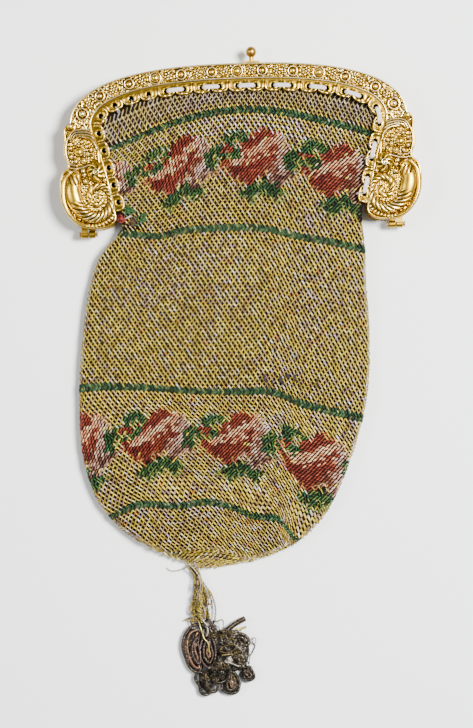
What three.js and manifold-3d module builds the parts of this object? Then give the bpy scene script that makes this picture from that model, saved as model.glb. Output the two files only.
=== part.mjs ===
// A lady's reticule lying flat on its back: a crocheted bag, hollow and open at the top, sewn
// into a stamped gilt frame of two halves. The halves are pinned together at the two scrolled
// ends and close with a ball-headed push button on the crown. A bullion tassel hangs from the
// bag's lowest point on a short stem of twisted thread.
// Millimetres. X runs across the frame, Y from the tassel up to the crown, Z up off the surface.
// Heights along Y are first measured from the middle of the rail at the crown, and the finished
// group is then moved so that the origin is the middle of the footprint.
import * as THREE from "three";
import { mergeVertices } from "three/addons/utils/BufferGeometryUtils.js";
import Module from "manifold-3d";

const wasm = await Module();
wasm.setup();

// Frame, seen from the front
const frameWidth = 126.8; // over the two volutes
const railOverhang = 4.1; // how far each volute stands out past the rail
const crownHeight = 2.4; // outer edge of the rail above the datum, at the crown
const railRise = 21.4; // from the spring line up to the outer edge
const railCrownWidth = 5.7;
const railSideWidth = 7.7;
const railRoundness = 2.5; // exponent of the arch's curve
const endDrop = 35; // from the spring line down to the foot of the volutes

// Frame, through its thickness
const halfDepth = 4.65;
const halfGap = 0.3; // between the edges of the two closed halves
const plateThickness = 0.8;
const wallThickness = 0.9;
const wireWidth = 0.8;
const wireHeight = 0.6;
const endProud = 0.1; // each end plate over the rail's plate, on both of its faces
const sink = 0.3; // how far relief is let into the plate that carries it

// Sewing rim
const rimThickness = 0.7;
const rimInset = 2.3; // line of holes inside the rail's inner edge
const rimFootInset = 10.1; // how far the line of holes has come in at the foot of the ends
const rimHolePitch = 6.3;
const rimHoleRadius = 0.8;
const lobeReach = 2.1; // from the line of holes in to the tip of each scallop
const valleyReach = 0.7; // and to the notch between two scallops

// Push button
const buttonOffset = 5.2; // from the middle of the crown
const ballRadius = 1.9;
const neckRadius = 1.2;
const stemRadius = 0.8;
const buttonRise = 5.9; // top of the ball above the rail
const buttonTravel = 1.4;
const barLength = 4.2;
const barThickness = 0.8;
const collarLength = 5.6;
const collarHeight = 0.7;
const clearance = 0.3;

// Hinge at each foot
const knuckleRadius = 1.3;
const knuckleLength = 2.3;
const hingePinRadius = 0.5;
const pinHeadRadius = 1.05;
const pinHeadLength = 0.5;
const hingeInset = 9.4; // middle of the hinge, in from the outside of the volute

// Bag
const bagDrop = 120.3; // from the feet of the frame to the bag's lowest point
const bagLeftReach = 59.6; // from the middle of the frame
const bagRightReach = 43.9;
const bagThickness = 8.2;
const bagWall = 1.2;
const bagUnderRim = 0.7; // how far the cloth passes the line of holes

// Tassel
const stemLength = 12.1;
const stemLean = 2.3; // sideways, over its length
const stemHeadRadius = 1.1;
const stemFootRadius = 2.0;
const tasselLength = 33;
const tasselThickness = 6.4;

// Worked out from the sizes above
const railHalf = frameWidth / 2 - railOverhang;
const springLine = crownHeight - railRise;
const footLine = springLine - endDrop;
const innerHalf = railHalf - railSideWidth;
const innerRise = railRise - railCrownWidth;
const footHalf = innerHalf - rimFootInset; // the line of holes at the foot
const endWidth = frameWidth / 2 - footHalf;
const depth = 2 * halfDepth + halfGap;
const frontTop = depth - wireHeight;
const frontUnder = frontTop - plateThickness;
const frontLow = halfDepth + halfGap;
const mouthTop = frontUnder - endProud - clearance;
const mouthUnder = plateThickness + endProud + clearance;

// Solids

// Closed geometry as a solid, with its faces turned outward.
function solidOf(geometry) {
  const bare = geometry.clone();
  bare.deleteAttribute("normal");
  bare.deleteAttribute("uv");
  const merged = mergeVertices(bare, 1e-4);
  const faces = new Uint32Array(merged.index.array);
  const make = (triVerts) => {
    const vertProperties = new Float32Array(merged.attributes.position.array);
    return new wasm.Manifold(new wasm.Mesh({ numProp: 3, vertProperties, triVerts }));
  };
  const solid = make(faces);
  return solid.volume() > 0 ? solid : make(faces.reverse());
}

function fuse(geometries) {
  return geometries.map(solidOf).reduce((sum, next) => sum.add(next));
}

function meshOf(name, solid, colour, roughness, metalness) {
  const made = solid.getMesh();
  const geometry = new THREE.BufferGeometry();
  geometry.setAttribute("position", new THREE.BufferAttribute(made.vertProperties, 3));
  geometry.setIndex(new THREE.BufferAttribute(made.triVerts, 1));
  geometry.computeVertexNormals();
  const material = new THREE.MeshStandardMaterial({ color: colour, roughness, metalness });
  const mesh = new THREE.Mesh(geometry, material);
  mesh.name = name;
  return mesh;
}

// The same geometry on the other side of the frame's middle line.
function mirrored(geometry) {
  return geometry.clone().scale(-1, 1, 1);
}

function onBothSides(geometries) {
  return geometries.flatMap((geometry) => [geometry, mirrored(geometry)]);
}

// A flat piece from an outline. Its round holes have six sides.
function slab(shape, low, high) {
  const settings = { depth: high - low, bevelEnabled: false, curveSegments: 3 };
  const geometry = new THREE.ExtrudeGeometry(shape, settings);
  geometry.translate(0, 0, low);
  return geometry;
}

function block(x0, x1, y0, y1, z0, z1) {
  const geometry = new THREE.BoxGeometry(x1 - x0, y1 - y0, z1 - z0);
  geometry.translate((x0 + x1) / 2, (y0 + y1) / 2, (z0 + z1) / 2);
  return geometry;
}

// A turned piece lying along X, from a profile of [place along X, radius].
function turnedAlongX(profile, y, z, sides) {
  const points = profile.map(([along, radius]) => new THREE.Vector2(radius, along));
  const geometry = new THREE.LatheGeometry(points, sides);
  geometry.rotateZ(-Math.PI / 2);
  geometry.translate(0, y, z);
  return geometry;
}

function rod(x0, x1, y, z, radius, sides = 12) {
  return turnedAlongX([[x0, 0], [x0, radius], [x1, radius], [x1, 0]], y, z, sides);
}

// A skin through rings of as many points each, closed at both ends. flat is the rings' own
// outline in two dimensions, from which the ends are filled.
function loft(rings, flat) {
  const count = rings[0].length;
  const points = rings.flat();
  const faces = [];
  for (let r = 0; r + 1 < rings.length; r++) {
    for (let i = 0; i < count; i++) {
      const a = r * count + i;
      const b = r * count + ((i + 1) % count);
      faces.push(a, b, a + count, b, b + count, a + count);
    }
  }
  const cap = THREE.ShapeUtils.triangulateShape(flat, []);
  const turn = THREE.ShapeUtils.area(flat) * THREE.ShapeUtils.area(cap[0].map((i) => flat[i]));
  const last = points.length - count;
  for (const [a, b, c] of turn > 0 ? cap : cap.map((face) => face.reverse())) {
    faces.push(a, c, b, last + a, last + b, last + c);
  }
  const geometry = new THREE.BufferGeometry().setFromPoints(points);
  geometry.setIndex(faces);
  return geometry;
}

function polygon(corners) {
  const points = [];
  for (let c = 0; c < corners; c++) {
    const angle = (2 * Math.PI * c) / corners;
    points.push(new THREE.Vector2(Math.cos(angle), Math.sin(angle)));
  }
  return points;
}

// A raised cord on a flat ground: a half-round swept along a curve, of a radius that changes.
function halfRound(curve, steps, radiusAt, ground, rise) {
  const corners = 4;
  const rings = [];
  for (let s = 0; s <= steps; s++) {
    const point = curve.getPoint(s / steps);
    const along = curve.getTangent(s / steps);
    const side = new THREE.Vector3(along.y, -along.x, 0).normalize();
    const radius = radiusAt(s / steps);
    const ring = [point.clone().addScaledVector(side, -radius).setZ(ground - sink)];
    ring.push(point.clone().addScaledVector(side, radius).setZ(ground - sink));
    for (let c = 0; c <= corners; c++) {
      const angle = (Math.PI * c) / corners;
      const place = point.clone().addScaledVector(side, radius * Math.cos(angle));
      ring.push(place.setZ(ground + 0.05 + radius * rise * Math.sin(angle)));
    }
    rings.push(ring);
  }
  const flat = [new THREE.Vector2(-1, -1), new THREE.Vector2(1, -1)];
  for (let c = 0; c <= corners; c++) {
    const angle = (Math.PI * c) / corners;
    flat.push(new THREE.Vector2(Math.cos(angle), Math.sin(angle)));
  }
  return loft(rings, flat);
}

// A raised boss, let into the ground.
function boss(x, y, radius, height, ground, sides = 8) {
  const profile = [new THREE.Vector2(0, -sink), new THREE.Vector2(radius, -sink)];
  for (const angle of [0, 0.25, 0.5].map((share) => share * Math.PI)) {
    const across = angle > 1.5 ? 0 : radius * Math.cos(angle);
    profile.push(new THREE.Vector2(across, 0.1 + (height - 0.1) * Math.sin(angle)));
  }
  const geometry = new THREE.LatheGeometry(profile, sides);
  geometry.rotateX(Math.PI / 2);
  geometry.translate(x, y, ground);
  return geometry;
}

// A raised ring, let into the ground.
function cup(x, y, radius, width, height, ground) {
  const profile = [
    [radius - width, -sink],
    [radius, -sink],
    [radius - 0.15, height],
    [radius - width + 0.1, height],
    [radius - width, -sink],
  ];
  const geometry = new THREE.LatheGeometry(profile.map(([r, z]) => new THREE.Vector2(r, z)), 7);
  geometry.rotateX(Math.PI / 2);
  geometry.translate(x, y, ground);
  return geometry;
}

// The rail: a channel bent to the arch, open below and at its inner side

function archPoint(half, rise, turn) {
  const power = 2 / railRoundness;
  const across = Math.cos(turn);
  return new THREE.Vector2(
    Math.sign(across) * half * Math.abs(across) ** power,
    springLine + rise * Math.abs(Math.sin(turn)) ** power,
  );
}

// section is a list of [distance in from the rail's outer edge, height]. Where a third value is
// true, the distance is counted back from its inner edge.
function rail(section) {
  const steps = 34;
  const rings = [];
  for (let s = 0; s <= steps; s++) {
    const turn = (Math.PI * s) / steps;
    const outer = archPoint(railHalf, railRise, turn);
    const inner = archPoint(innerHalf, innerRise, turn);
    const width = outer.distanceTo(inner);
    rings.push(
      section.map(([distance, z, fromInner]) => {
        const share = (fromInner ? width - distance : distance) / width;
        const place = outer.clone().lerp(inner, share);
        return new THREE.Vector3(place.x, place.y, z);
      }),
    );
  }
  const flat = section.map(([distance, z, fromInner]) => {
    return new THREE.Vector2(fromInner ? railSideWidth - distance : distance, z);
  });
  return loft(rings, flat);
}

const frontSection = [
  [0, frontLow],
  [wallThickness, frontLow],
  [wallThickness, frontUnder],
  [0, frontUnder, true],
  [0, depth, true],
  [wireWidth, depth, true],
  [wireWidth, frontTop, true],
  [wireWidth, frontTop],
  [wireWidth, depth],
  [0, depth],
];

const backSection = [
  [0, 0],
  [0, 0, true],
  [0, plateThickness, true],
  [wallThickness, plateThickness],
  [wallThickness, halfDepth],
  [0, halfDepth],
];

// The sewing rim

// The right half of the line that the sewing holes follow, from the crown down to the foot.
const rimLine = [];
for (let s = 0; s <= 40; s++) {
  const turn = (Math.PI / 2) * (1 - s / 40);
  rimLine.push(archPoint(innerHalf - rimInset, innerRise - rimInset, turn));
}
rimLine.push(new THREE.Vector2(footHalf, footLine + lobeReach + 1));
rimLine[0].x = 0;

const rimLength = rimLine
  .slice(1)
  .reduce((sum, point, i) => sum + point.distanceTo(rimLine[i]), 0);
const holesPerSide = Math.round(rimLength / rimHolePitch);
const holePitch = rimLength / holesPerSide;

// The place on the line at a distance from the crown, left of it below zero, moved outward.
function onRim(distance, outward = 0) {
  const mirror = distance < 0 ? -1 : 1;
  let left = Math.min(Math.abs(distance), rimLength - 1e-6);
  let i = 0;
  while (left > rimLine[i].distanceTo(rimLine[i + 1])) {
    left -= rimLine[i].distanceTo(rimLine[i + 1]);
    i += 1;
  }
  const along = rimLine[i + 1].clone().sub(rimLine[i]).normalize();
  const place = rimLine[i].clone().addScaledVector(along, left);
  place.addScaledVector(new THREE.Vector2(-along.y, along.x), outward);
  return new THREE.Vector2(mirror * Math.max(place.x, 0), place.y);
}

function rim(low) {
  const outline = [];
  const outerSteps = holesPerSide;
  for (let k = -outerSteps; k <= outerSteps; k++) {
    outline.push(onRim((k * rimLength) / outerSteps, rimInset + 0.5));
  }
  const scallops = [];
  const places = [
    { along: -0.5, reach: valleyReach },
    { along: -0.3, reach: lobeReach * 0.8 },
    { along: 0, reach: lobeReach },
    { along: 0.3, reach: lobeReach * 0.8 },
  ];
  for (let k = -holesPerSide; k <= holesPerSide; k++) {
    for (const { along, reach } of places) {
      if (Math.abs(k + along) <= holesPerSide) scallops.push(onRim((k + along) * holePitch, -reach));
    }
  }
  const shape = new THREE.Shape([...outline, ...scallops.reverse()]);
  for (let k = 1 - holesPerSide; k < holesPerSide; k++) {
    const { x, y } = onRim(k * holePitch);
    shape.holes.push(new THREE.Path().absarc(x, y, rimHoleRadius, 0, 2 * Math.PI));
  }
  return slab(shape, low, low + rimThickness);
}

// The ends: a volute below and a cartouche above, on one plate

// One row for each turn of the right end's outline, from the rail round by the outside to the
// foot and back up. across is the share of endWidth out from the foot of the line of holes, and
// down the share of endDrop below the spring line.
const endOutline = [
  { across: 0.8, down: -0.07 },
  { across: 0.9, down: -0.01 },
  { across: 0.9, down: 0.1 },
  { across: 0.915, down: 0.24 },
  { across: 0.86, down: 0.37 },
  { across: 0.96, down: 0.44 },
  { across: 1.0, down: 0.59 },
  { across: 0.97, down: 0.74 },
  { across: 0.86, down: 0.875 },
  { across: 0.7, down: 0.965 },
  { across: 0.46, down: 1.0 },
  { across: 0.23, down: 0.985 },
  { across: 0.11, down: 0.92 },
  { across: 0.13, down: 0.77 },
  { across: 0.2, down: 0.54 },
  { across: 0.3, down: 0.29 },
  { across: 0.43, down: 0.04 },
  { across: 0.48, down: -0.07 },
];
const outerRows = 10.5; // rows of the table that the end's wall follows

function endPlace(across, down) {
  return new THREE.Vector3(footHalf + across * endWidth, springLine - down * endDrop, 0);
}

const endCurve = new THREE.CatmullRomCurve3(
  endOutline.map((row) => endPlace(row.across, row.down)),
  true,
  "centripetal",
);

function endEdge(row, inset) {
  const t = row / endOutline.length;
  const along = endCurve.getTangent(t);
  const place = endCurve.getPoint(t);
  return new THREE.Vector2(place.x + along.y * inset, place.y - along.x * inset);
}

function endPlate(low) {
  const points = [];
  const steps = 2 * endOutline.length;
  for (let s = 0; s < steps; s++) points.push(endEdge(s / 2, 0));
  return slab(new THREE.Shape(points), low - endProud, low + plateThickness + endProud);
}

// The wall stands a little inside the plate's edge.
function endWall(low, high) {
  const lip = 0.15;
  const outer = [];
  const inner = [];
  for (let row = 0.5; row <= outerRows; row += 0.5) {
    outer.push(endEdge(row, lip));
    inner.push(endEdge(row, lip + wallThickness));
  }
  return slab(new THREE.Shape([...outer, ...inner.reverse()]), low, high);
}

// Relief on the front

// Distances from the crown along the middle of the rail, as shares of the frame's half width.
const railStuds = [
  { kind: "pearl", along: [0, 0.452, 0.93] },
  { kind: "cup", along: [0.139, 0.308, 0.6, 0.775] },
  { kind: "flower", along: [0.22, 0.38, 0.525, 0.69, 0.85] },
];

function railRelief() {
  const middle = [];
  for (let s = 0; s <= 60; s++) {
    const turn = (Math.PI / 2) * (1 - s / 60);
    middle.push(archPoint(railHalf - railSideWidth / 2, railRise - railCrownWidth / 2, turn));
  }
  const line = new THREE.CurvePath();
  for (let s = 0; s < 60; s++) line.add(new THREE.LineCurve(middle[s], middle[s + 1]));
  const make = {
    pearl: (x, y) => boss(x, y, 1.75, 1.3, frontTop),
    cup: (x, y) => cup(x, y, 1.5, 0.7, 0.55, frontTop),
    flower: (x, y) => boss(x, y, 1.3, 0.6, frontTop, 6),
  };
  const studs = [];
  for (const { kind, along } of railStuds) {
    for (const share of along) {
      const at = line.getPointAt((share * frameWidth) / 2 / line.getLength());
      studs.push(...(share > 0 ? onBothSides([make[kind](at.x, at.y)]) : [make[kind](0, at.y)]));
    }
  }
  return studs;
}

class Horn extends THREE.Curve {
  getPoint(t) {
    const middle = endPlace(0.475, 0.655);
    const radius = THREE.MathUtils.lerp(0.38, 0.04, t ** 0.85) * endWidth;
    const angle = Math.PI * (0.42 - 2.9 * t);
    return middle.add(new THREE.Vector3(Math.cos(angle), Math.sin(angle), 0).multiplyScalar(radius));
  }
}

// The horn coiled in the volute, and the leaf, fruit and posy above it, on the right end.
const leafRows = [
  { across: 0.46, down: 0.36 },
  { across: 0.44, down: 0.17 },
  { across: 0.58, down: 0.03 },
  { across: 0.78, down: 0.08 },
  { across: 0.82, down: 0.26 },
  { across: 0.74, down: 0.36 },
];
const fruitRows = [
  { across: 0.52, down: 0.13, size: 1.4 },
  { across: 0.68, down: 0.13, size: 1.4 },
  { across: 0.6, down: 0.24, size: 1.6 },
  { across: 0.72, down: 0.27, size: 1.3 },
  { across: 0.56, down: 0.35, size: 1.3 },
  { across: 0.3, down: 0.36, size: 2.2 },
  { across: 0.82, down: -0.04, size: 1.5 },
];

function endRelief() {
  const ground = frontTop + endProud;
  const leaf = new THREE.CatmullRomCurve3(leafRows.map((row) => endPlace(row.across, row.down)));
  return [
    halfRound(new Horn(), 28, (t) => 2.3 - 1.75 * t, ground, 0.85),
    halfRound(leaf, 9, (t) => 1.3 - 0.5 * t, ground, 0.9),
    ...fruitRows.map((row) => {
      const place = endPlace(row.across, row.down);
      return boss(place.x, place.y, row.size, row.size * 0.8, ground, 6);
    }),
  ];
}

// Hinge

const hingeX = frameWidth / 2 - hingeInset;
const hingeY = footLine - knuckleRadius - clearance;
const hingeZ = depth / 2;
const webThickness = 0.9;

// A knuckle from x0 to x1 with the web that joins it to the wall above, drilled for the pin.
function knuckle(x0, x1, webLow) {
  const web = block(x0 + 0.1, x1 - 0.1, hingeY, footLine + 1.6, webLow, webLow + webThickness);
  return [rod(x0, x1, hingeY, hingeZ, knuckleRadius), web];
}

function pinBores() {
  const reach = knuckleLength + 2;
  return onBothSides([
    rod(hingeX - reach, hingeX + reach, hingeY, hingeZ, hingePinRadius + clearance, 10),
  ]);
}

function hingePin() {
  const inner = knuckleLength + clearance * 1.5;
  const outer = inner + pinHeadLength;
  const profile = [
    [hingeX - outer, 0],
    [hingeX - outer, pinHeadRadius],
    [hingeX - inner, pinHeadRadius],
    [hingeX - inner, hingePinRadius],
    [hingeX + inner, hingePinRadius],
    [hingeX + inner, pinHeadRadius],
    [hingeX + outer, pinHeadRadius],
    [hingeX + outer, 0],
  ];
  return turnedAlongX(profile, hingeY, hingeZ, 10);
}

// Push button: ball, neck, stem through the wall, and a cross bar that keeps it in

const buttonZ = (frontLow + frontUnder) / 2;
const barTop = crownHeight - wallThickness - clearance;

function pushButton() {
  const ballMiddle = crownHeight + buttonRise - ballRadius;
  const neckFoot = crownHeight + collarHeight + buttonTravel + clearance;
  const profile = [
    new THREE.Vector2(0, barTop - barThickness / 2),
    new THREE.Vector2(stemRadius, barTop - barThickness / 2),
    new THREE.Vector2(stemRadius, neckFoot),
    new THREE.Vector2(neckRadius, neckFoot),
  ];
  const join = Math.asin(neckRadius / ballRadius);
  const steps = 5;
  for (let s = 0; s <= steps; s++) {
    const angle = join + ((Math.PI - join) * s) / steps;
    const across = s === steps ? 0 : ballRadius * Math.sin(angle);
    profile.push(new THREE.Vector2(across, ballMiddle - ballRadius * Math.cos(angle)));
  }
  const turned = new THREE.LatheGeometry(profile, 12);
  turned.translate(buttonOffset, 0, buttonZ);
  const bar = block(
    buttonOffset - barLength / 2,
    buttonOffset + barLength / 2,
    barTop - barThickness,
    barTop,
    buttonZ - stemRadius - 0.2,
    buttonZ + stemRadius + 0.2,
  );
  return fuse([turned, bar]);
}

// The two halves of the frame

function frontHalf() {
  const collar = block(
    buttonOffset - collarLength / 2,
    buttonOffset + collarLength / 2,
    crownHeight - wallThickness / 2,
    crownHeight + collarHeight,
    buttonZ - stemRadius - clearance - 0.3,
    buttonZ + stemRadius + clearance + 0.3,
  );
  const bore = new THREE.CylinderGeometry(stemRadius + clearance, stemRadius + clearance, 6, 12);
  bore.translate(buttonOffset, crownHeight, buttonZ);
  const knuckleIn = hingeX + clearance / 2;
  return fuse([
    rail(frontSection),
    rim((frontTop + frontUnder - rimThickness) / 2),
    ...onBothSides([
      endPlate(frontUnder),
      endWall(frontLow, frontUnder + 0.2),
      ...endRelief(),
      ...knuckle(knuckleIn, knuckleIn + knuckleLength, frontLow + 0.1),
    ]),
    ...railRelief(),
    collar,
  ]).subtract(fuse([bore, ...pinBores()]));
}

function backHalf() {
  const knuckleOut = hingeX - clearance / 2;
  return fuse([
    rail(backSection),
    rim((plateThickness - rimThickness) / 2),
    ...onBothSides([
      endPlate(endProud * 2),
      endWall(plateThickness - 0.2, halfDepth),
      ...knuckle(knuckleOut - knuckleLength, knuckleOut, halfDepth - 0.1 - webThickness),
    ]),
  ]).subtract(fuse(pinBores()));
}

// Bag

// One row for each section of the bag, from the feet of the frame down to the tip. drop is the
// share of bagDrop, swell how far the side has left the neck for its full reach, left and right
// shares of the reaches, and puff the share of bagThickness.
const bagRows = [
  { drop: 0.0, swell: 0.0, left: 1.0, right: 1.0, puff: 1.0 },
  { drop: 0.03, swell: 0.16, left: 1.0, right: 1.0, puff: 1.0 },
  { drop: 0.05, swell: 0.31, left: 1.0, right: 1.0, puff: 1.0 },
  { drop: 0.095, swell: 0.54, left: 1.0, right: 1.0, puff: 1.0 },
  { drop: 0.15, swell: 0.67, left: 1.0, right: 0.99, puff: 1.0 },
  { drop: 0.21, swell: 0.78, left: 1.0, right: 0.99, puff: 1.0 },
  { drop: 0.28, swell: 0.86, left: 1.0, right: 1.0, puff: 1.0 },
  { drop: 0.36, swell: 0.925, left: 1.0, right: 0.995, puff: 1.0 },
  { drop: 0.45, swell: 0.98, left: 1.0, right: 0.98, puff: 1.0 },
  { drop: 0.54, swell: 1.0, left: 1.0, right: 0.943, puff: 1.0 },
  { drop: 0.63, swell: 1.0, left: 0.997, right: 0.87, puff: 1.0 },
  { drop: 0.72, swell: 1.0, left: 0.964, right: 0.78, puff: 0.99 },
  { drop: 0.8, swell: 1.0, left: 0.9, right: 0.68, puff: 0.96 },
  { drop: 0.87, swell: 1.0, left: 0.784, right: 0.55, puff: 0.9 },
  { drop: 0.93, swell: 1.0, left: 0.616, right: 0.358, puff: 0.8 },
  { drop: 0.97, swell: 1.0, left: 0.453, right: 0.105, puff: 0.66 },
  { drop: 1.0, swell: 1.0, left: 0.345, right: -0.3, puff: 0.36 },
];

// Soft hollows in the bag's front. across and down place the middle of each as shares of the left
// reach and of bagDrop, length and width are shares of the left reach, deep is a share of
// bagThickness, and turn is its lie in degrees from X.
const bagFolds = [
  { across: -0.68, down: 0.04, turn: 60, length: 0.2, width: 0.06, deep: 0.14 },
  { across: -0.25, down: 0.8, turn: 80, length: 0.28, width: 0.08, deep: 0.08 },
  { across: 0.22, down: 0.86, turn: 110, length: 0.24, width: 0.08, deep: 0.1 },
  { across: -0.6, down: 0.78, turn: 60, length: 0.26, width: 0.08, deep: 0.07 },
  { across: 0.35, down: 0.6, turn: 150, length: 0.34, width: 0.1, deep: 0.06 },
];

function foldDepth(x, y) {
  let total = 0;
  for (const fold of bagFolds) {
    const turn = THREE.MathUtils.degToRad(fold.turn);
    const dx = x / bagLeftReach - fold.across;
    const dy = (y - footLine + fold.down * bagDrop) / bagLeftReach;
    const along = (dx * Math.cos(turn) + dy * Math.sin(turn)) / fold.length;
    const off = (dy * Math.cos(turn) - dx * Math.sin(turn)) / fold.width;
    total += fold.deep * bagThickness * Math.exp(-(along * along) - off * off);
  }
  return total;
}

const neckHalf = footHalf + bagUnderRim;
const bagCorners = 28;

// A closed ring round the bag at one row, moved in by inset. It is squarer at the neck.
function bagRing(row, inset) {
  const mix = THREE.MathUtils.lerp;
  const ease = THREE.MathUtils.smoothstep;
  const left = mix(neckHalf, bagLeftReach * row.left, row.swell) - inset;
  const right = mix(neckHalf, bagRightReach * row.right, row.swell) - inset;
  const y = footLine - row.drop * (bagDrop - inset);
  const away = ease(row.drop, 0.02, 0.15);
  const low = mix(mouthUnder, 0, ease(row.drop, 0, 0.1));
  const high = mix(mouthTop, bagThickness * row.puff, away);
  const waist = mix(low, high, 0.4);
  const round = mix(0.1, 0.6, away);
  const ring = [];
  for (let c = 0; c < bagCorners; c++) {
    const turn = (2 * Math.PI * (c + 0.5)) / bagCorners;
    const across = Math.sign(Math.cos(turn)) * Math.abs(Math.cos(turn)) ** 0.8;
    const up = Math.sin(turn);
    const x = (right - left) / 2 + ((left + right) / 2) * across;
    const z =
      up > 0
        ? waist + (high - inset - waist) * up ** round - foldDepth(x, y) * up
        : waist - (waist - low - inset) * (-up) ** (round * 0.7);
    ring.push(new THREE.Vector3(x, y, z));
  }
  return ring;
}

function bag() {
  const flat = polygon(bagCorners);
  const above = { ...bagRows[0], drop: -0.02 };
  const outer = loft(bagRows.map((row) => bagRing(row, 0)), flat);
  const inner = loft([above, ...bagRows].map((row) => bagRing(row, bagWall)), flat);
  // The two panels of the mouth follow the line of holes, and are open down both sides.
  const steps = 2 * holesPerSide;
  const outline = [];
  for (let k = -steps; k <= steps; k++) {
    outline.push(onRim((k * rimLength) / steps, bagUnderRim));
  }
  const overlap = 0.6;
  outline.push(new THREE.Vector2(neckHalf - 0.1, footLine - overlap));
  outline.push(new THREE.Vector2(0.1 - neckHalf, footLine - overlap));
  const panel = new THREE.Shape(outline);
  return solidOf(outer)
    .subtract(solidOf(inner))
    .add(solidOf(slab(panel, mouthTop - bagWall, mouthTop)))
    .add(solidOf(slab(panel, mouthUnder, mouthUnder + bagWall)));
}

// Tassel

const tip = bagRows[bagRows.length - 1];
const stemX = -bagLeftReach * tip.left + 0.6;
const stemTop = footLine - bagDrop - clearance;

function tasselStem() {
  const foot = stemTop - stemLength + clearance;
  const path = new THREE.CatmullRomCurve3([
    new THREE.Vector3(stemX, stemTop, stemHeadRadius),
    new THREE.Vector3(stemX + stemLean * 0.5, (stemTop + foot) / 2, stemHeadRadius + 0.4),
    new THREE.Vector3(stemX + stemLean, foot, stemFootRadius + 0.2),
  ]);
  const section = polygon(10);
  const rings = [];
  for (let s = 0; s <= 8; s++) {
    const point = path.getPoint(s / 8);
    const along = path.getTangent(s / 8);
    const side = new THREE.Vector3(along.y, -along.x, 0).normalize();
    const up = new THREE.Vector3().crossVectors(along, side).normalize();
    const radius = THREE.MathUtils.lerp(stemHeadRadius, stemFootRadius, (s / 8) ** 1.4);
    const ring = [];
    for (const corner of section) {
      const place = point.clone().addScaledVector(side, radius * corner.x);
      ring.push(place.addScaledVector(up, radius * corner.y));
    }
    rings.push(ring);
  }
  return solidOf(loft(rings, section));
}

// One row for each bullion petal. across and down place its middle from the stem's foot, and
// length and width are its own, all as shares of tasselLength. turn is degrees from X, and thick
// the share of tasselThickness.
const petals = [
  { across: -0.19, down: 0.357, length: 0.44, width: 0.25, turn: 100, thick: 0.9 },
  { across: -0.005, down: 0.42, length: 0.44, width: 0.2, turn: 85, thick: 0.95 },
  { across: -0.1, down: 0.77, length: 0.44, width: 0.19, turn: 75, thick: 0.8 },
  { across: 0.218, down: 0.755, length: 0.4, width: 0.21, turn: 95, thick: 0.8 },
  { across: 0.41, down: 0.642, length: 0.3, width: 0.16, turn: 60, thick: 0.7 },
  { across: 0.3, down: 0.185, length: 0.33, width: 0.09, turn: 25, thick: 0.5 },
  { across: 0.38, down: 0.38, length: 0.28, width: 0.17, turn: 70, thick: 0.6 },
  { across: 0.15, down: 0.36, length: 0.46, width: 0.38, turn: 90, thick: 1.0 },
  { across: 0.19, down: 0.56, length: 0.44, width: 0.32, turn: 125, thick: 0.9 },
  { across: 0.03, down: 0.13, length: 0.26, width: 0.18, turn: 90, thick: 0.85 },
];

function tassel() {
  const headX = stemX + stemLean;
  const headY = stemTop - stemLength;
  const flat = 0.25; // what the petals give where they rest
  const lobes = petals.map((petal) => {
    const thick = petal.thick * tasselThickness;
    const geometry = new THREE.SphereGeometry(1, 9, 5);
    geometry.rotateX(Math.PI / 2);
    geometry.scale((petal.length / 2) * tasselLength, (petal.width / 2) * tasselLength, thick / 2);
    geometry.rotateZ(THREE.MathUtils.degToRad(petal.turn));
    geometry.translate(
      headX + petal.across * tasselLength,
      headY - petal.down * tasselLength,
      thick / 2 - flat,
    );
    return geometry;
  });
  const kept = block(
    headX - tasselLength,
    headX + tasselLength,
    headY - 2 * tasselLength,
    headY,
    0,
    2 * tasselThickness,
  );
  return fuse(lobes).intersect(solidOf(kept));
}

// The assembled reticule

const reticule = new THREE.Group();
reticule.add(meshOf("front_frame", frontHalf(), 0xc9983f, 0.3, 1));
reticule.add(meshOf("back_frame", backHalf(), 0xb98b3a, 0.35, 1));
reticule.add(meshOf("hinge_pin_right", solidOf(hingePin()), 0xa87f3c, 0.4, 1));
reticule.add(meshOf("hinge_pin_left", solidOf(mirrored(hingePin())), 0xa87f3c, 0.4, 1));
reticule.add(meshOf("push_button", pushButton(), 0xb08046, 0.3, 1));
reticule.add(meshOf("bag", bag(), 0x9c8a55, 0.7, 0));
reticule.add(meshOf("tassel_stem", tasselStem(), 0x9a8340, 0.6, 0));
reticule.add(meshOf("tassel", tassel(), 0x4a4238, 0.5, 0.3));

const footprint = new THREE.Box3().setFromObject(reticule);
const middle = footprint.getCenter(new THREE.Vector3());
reticule.position.set(-middle.x, -middle.y, -footprint.min.z);

export default reticule;
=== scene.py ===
import math

import bpy
import numpy as np
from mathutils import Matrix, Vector


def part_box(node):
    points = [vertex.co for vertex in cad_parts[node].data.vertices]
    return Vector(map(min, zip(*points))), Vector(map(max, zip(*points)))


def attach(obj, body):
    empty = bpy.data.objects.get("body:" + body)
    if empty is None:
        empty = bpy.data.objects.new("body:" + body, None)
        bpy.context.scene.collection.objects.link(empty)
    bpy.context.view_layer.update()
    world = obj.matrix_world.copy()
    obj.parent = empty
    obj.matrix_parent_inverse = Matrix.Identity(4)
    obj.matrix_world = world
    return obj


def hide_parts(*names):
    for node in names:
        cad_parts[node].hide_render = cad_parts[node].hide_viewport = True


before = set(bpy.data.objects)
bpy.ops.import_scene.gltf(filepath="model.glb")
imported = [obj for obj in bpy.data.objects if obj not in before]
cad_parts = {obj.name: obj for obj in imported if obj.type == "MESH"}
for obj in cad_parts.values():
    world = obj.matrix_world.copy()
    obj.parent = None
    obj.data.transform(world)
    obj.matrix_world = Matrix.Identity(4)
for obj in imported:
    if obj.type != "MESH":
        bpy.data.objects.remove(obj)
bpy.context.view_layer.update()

crown_to_collar = 3.1
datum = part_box("front_frame")[1].y * 1000 - crown_to_collar

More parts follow.
